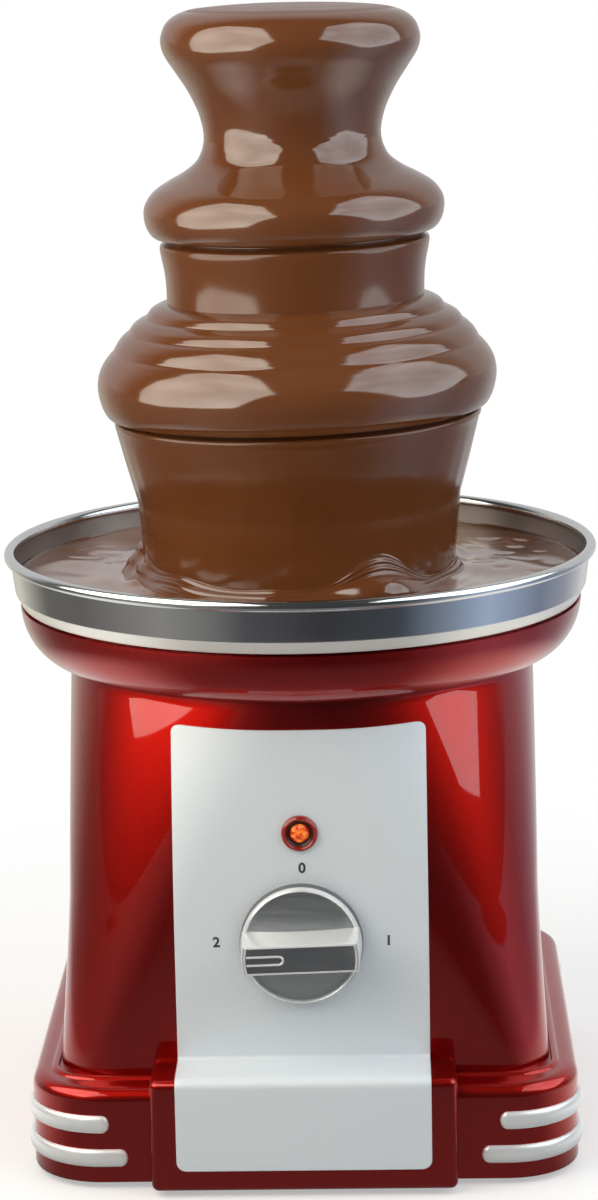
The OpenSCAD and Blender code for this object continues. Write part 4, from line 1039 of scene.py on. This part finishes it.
# Floor, light and camera.
# The fountain stands on a pale floor between two soft boxes, left and right of the camera.
# The room is white behind and beside it and dark behind the camera, as in a small photo tent.
FLOOR_HALF = 14.0
MIRRORED_FLOOR = (
    (-180, 0.50, 0.48, 0.43), (-145, 0.70, 0.67, 0.58), (-115, 0.16, 0.155, 0.14), (-90, 0.15, 0.145, 0.135),
    (-52, 0.30, 0.29, 0.27), (-35, 0.22, 0.22, 0.21), (-19, 0.09, 0.09, 0.10), (10, 0.045, 0.045, 0.05),
    (38, 0.06, 0.07, 0.08), (58, 0.24, 0.29, 0.38), (75, 0.42, 0.52, 0.69), (105, 0.22, 0.26, 0.35),
    (125, 0.34, 0.36, 0.42), (150, 0.70, 0.71, 0.72), (180, 0.50, 0.48, 0.43),
)
UNDER_NEAR, UNDER_FAR = 0.27, 0.40
SHADE_FRONT, SHADE_SIDE = math.radians(46), math.radians(76)
SHADE_DARK, SHADE_PALE = (0.22, 0.215, 0.21), (1.0, 0.98, 0.94)
WHITE_NEAR, WHITE_FAR, FLOOR_LIFT = 0.17, 0.40, 0.42


def chosen(tree, share, first, second):
    choice = node(tree, "MixShader")
    for source, socket in zip((share, first, second), choice.inputs):
        plug(tree, source, socket)
    return choice.outputs["Shader"]


def pale_floor():
    finish, tree, shader = new_finish("pale_floor", (0.56, 0.56, 0.555), 0.6)
    ray = node(tree, "LightPath").outputs
    spot = node(tree, "NewGeometry").outputs["Position"]
    part = axes(tree, spot)
    bearing = maths(tree, "ARCTAN2", part["X"], maths(tree, "MULTIPLY", part["Y"], -1.0))
    length = node(tree, "VectorMath")
    length.operation = "LENGTH"
    plug(tree, spot, length.inputs[0])
    distance = length.outputs["Value"]

    stops = [((turn + 180) / 360, level) for turn, *level in MIRRORED_FLOOR]
    mirrored = colour_ramp(tree, ranged(tree, bearing, -math.pi, math.pi), *stops)
    aside = ranged(tree, maths(tree, "ABSOLUTE", bearing), SHADE_FRONT, SHADE_SIDE)
    shaded = colour_ramp(tree, aside, (0.0, SHADE_DARK), (1.0, SHADE_PALE))
    under = ranged(tree, distance, UNDER_NEAR, UNDER_FAR, 1.0, 0.0)
    reflected = node(tree, "Emission")
    plug(tree, blended(tree, under, mirrored, shaded), reflected.inputs["Color"])

    lift = maths(tree, "MULTIPLY", ray["Is Camera Ray"], FLOOR_LIFT)
    plug(tree, lift, shader.inputs["Emission Strength"])
    fill(shader, {"Emission Color": (1.0, 1.0, 1.0, 1.0)})
    white = node(tree, "Emission")
    far = ranged(tree, distance, WHITE_NEAR, WHITE_FAR, curve="SMOOTHSTEP")
    seen_far = maths(tree, "MULTIPLY", far, ray["Is Camera Ray"])
    lit = chosen(tree, seen_far, shader.outputs["BSDF"], white.outputs["Emission"])
    shine = maths(tree, "MAXIMUM", ray["Is Glossy Ray"], ray["Is Transmission Ray"])
    surface = chosen(tree, shine, lit, reflected.outputs["Emission"])
    plug(tree, surface, tree.nodes["Material Output"].inputs["Surface"])
    return finish


corners = [(x * FLOOR_HALF, y * FLOOR_HALF, 0) for x, y in ((-1, -1), (1, -1), (1, 1), (-1, 1))]
floor_mesh = listed("studio_floor", corners, [(0, 1, 2, 3)])
studio_floor = placed("studio_floor", floor_mesh)
floor_mesh.materials.append(pale_floor())

LIGHT_MID = 0.25
CLOTH_LOW, CLOTH_HIGH = 0.70, 1.30
FULLER_FROM, FULLER_TO = 0.16, 0.36


def soft_box(name, facing, distance, outline, glow, low_glow, tint):
    corners = []
    for turn, rise in outline:
        way = math.radians(turn)
        reach = distance / math.cos(math.radians(turn - facing))
        corners.append((reach * math.sin(way), -reach * math.cos(way),
                        LIGHT_MID + reach * math.tan(math.radians(rise))))
    mesh = listed(name, corners, [tuple(range(len(corners)))])
    finish = bpy.data.materials.new(name)
    finish.use_nodes = True
    tree = finish.node_tree
    tree.nodes.remove(tree.nodes["Principled BSDF"])
    cloth = node(tree, "Emission")
    fill(cloth, {"Color": (*tint, 1.0)})
    spot = node(tree, "NewGeometry").outputs
    front = maths(tree, "SUBTRACT", 1.0, spot["Backfacing"])
    uneven = spread(tree, noise_on(tree, 2.6, 2.0), CLOTH_LOW * glow, CLOTH_HIGH * glow)
    fuller = ranged(tree, axes(tree, spot["Position"])["Z"], FULLER_FROM, FULLER_TO, low_glow, 1.0)
    strength = maths(tree, "MULTIPLY", maths(tree, "MULTIPLY", front, uneven), fuller)
    plug(tree, strength, cloth.inputs["Strength"])
    plug(tree, cloth.outputs["Emission"], tree.nodes["Material Output"].inputs["Surface"])
    mesh.materials.append(finish)
    box = placed(name, mesh)
    box.visible_camera = False


LEFT_BOX = ((-93, -5), (-93, 60), (-37, 62), (-12, 24), (-33, -6.5), (-60, -9), (-75, -10))
RIGHT_BOX = ((110, 6), (92, -3), (76, -9), (64, -7), (28, 24), (52, 60), (110, 60))
soft_box("left_soft_box", -62, 0.40, LEFT_BOX, glow=2.95, low_glow=1.4, tint=(1.0, 0.94, 0.82))
soft_box("right_soft_box", 81, 0.58, RIGHT_BOX, glow=2.1, low_glow=1.1, tint=(0.91, 0.96, 1.0))

TENT_NEAR, TENT_FAR, TENT_DARK, TENT_PALE = 0.30, 0.62, 0.05, 0.62
TENT_LOW, TENT_HIGH = 0.22, 0.88
world = bpy.data.worlds.new("photo_tent")
bpy.context.scene.world = world
world.use_nodes = True
tent = world.node_tree
back = tent.nodes["Background"]
ray = node(tent, "LightPath").outputs
way = axes(tent, node(tent, "TexCoord").outputs["Generated"])
depth = ranged(tent, way["Y"], TENT_NEAR, TENT_FAR, TENT_DARK, TENT_PALE)
height = ranged(tent, way["Z"], 0.0, 1.0, TENT_LOW, TENT_HIGH)
shine = maths(tent, "MAXIMUM", ray["Is Glossy Ray"], ray["Is Transmission Ray"])
seen = blended(tent, shine, height, depth, colour=False)
plug(tent, blended(tent, ray["Is Camera Ray"], seen, 1.0, colour=False), back.inputs["Strength"])
fill(back, {"Color": (1.0, 1.0, 1.0, 1.0)})

EYE = (0.02836, -1.14965, 0.42205)
EYE_TURN, EYE_DOWN, EYE_ROLL = math.radians(1.447), math.radians(12.071), math.radians(-1.121)
LENS = 103.70
lens = bpy.data.cameras.new("photo_camera")
lens.lens = LENS
lens.clip_start = 0.05
camera = placed("photo_camera", lens)
ahead = Vector((-math.sin(EYE_TURN) * math.cos(EYE_DOWN), math.cos(EYE_TURN) * math.cos(EYE_DOWN),
                -math.sin(EYE_DOWN)))
level = Vector((math.cos(EYE_TURN), math.sin(EYE_TURN), 0.0))
upright = level.cross(ahead)
right = level * math.cos(EYE_ROLL) + upright * math.sin(EYE_ROLL)
top = upright * math.cos(EYE_ROLL) - level * math.sin(EYE_ROLL)
camera.matrix_world = Matrix.Translation(EYE) @ Matrix((right, top, -ahead)).transposed().to_4x4()
bpy.context.scene.camera = camera
bpy.context.scene.view_settings.view_transform = "Standard"
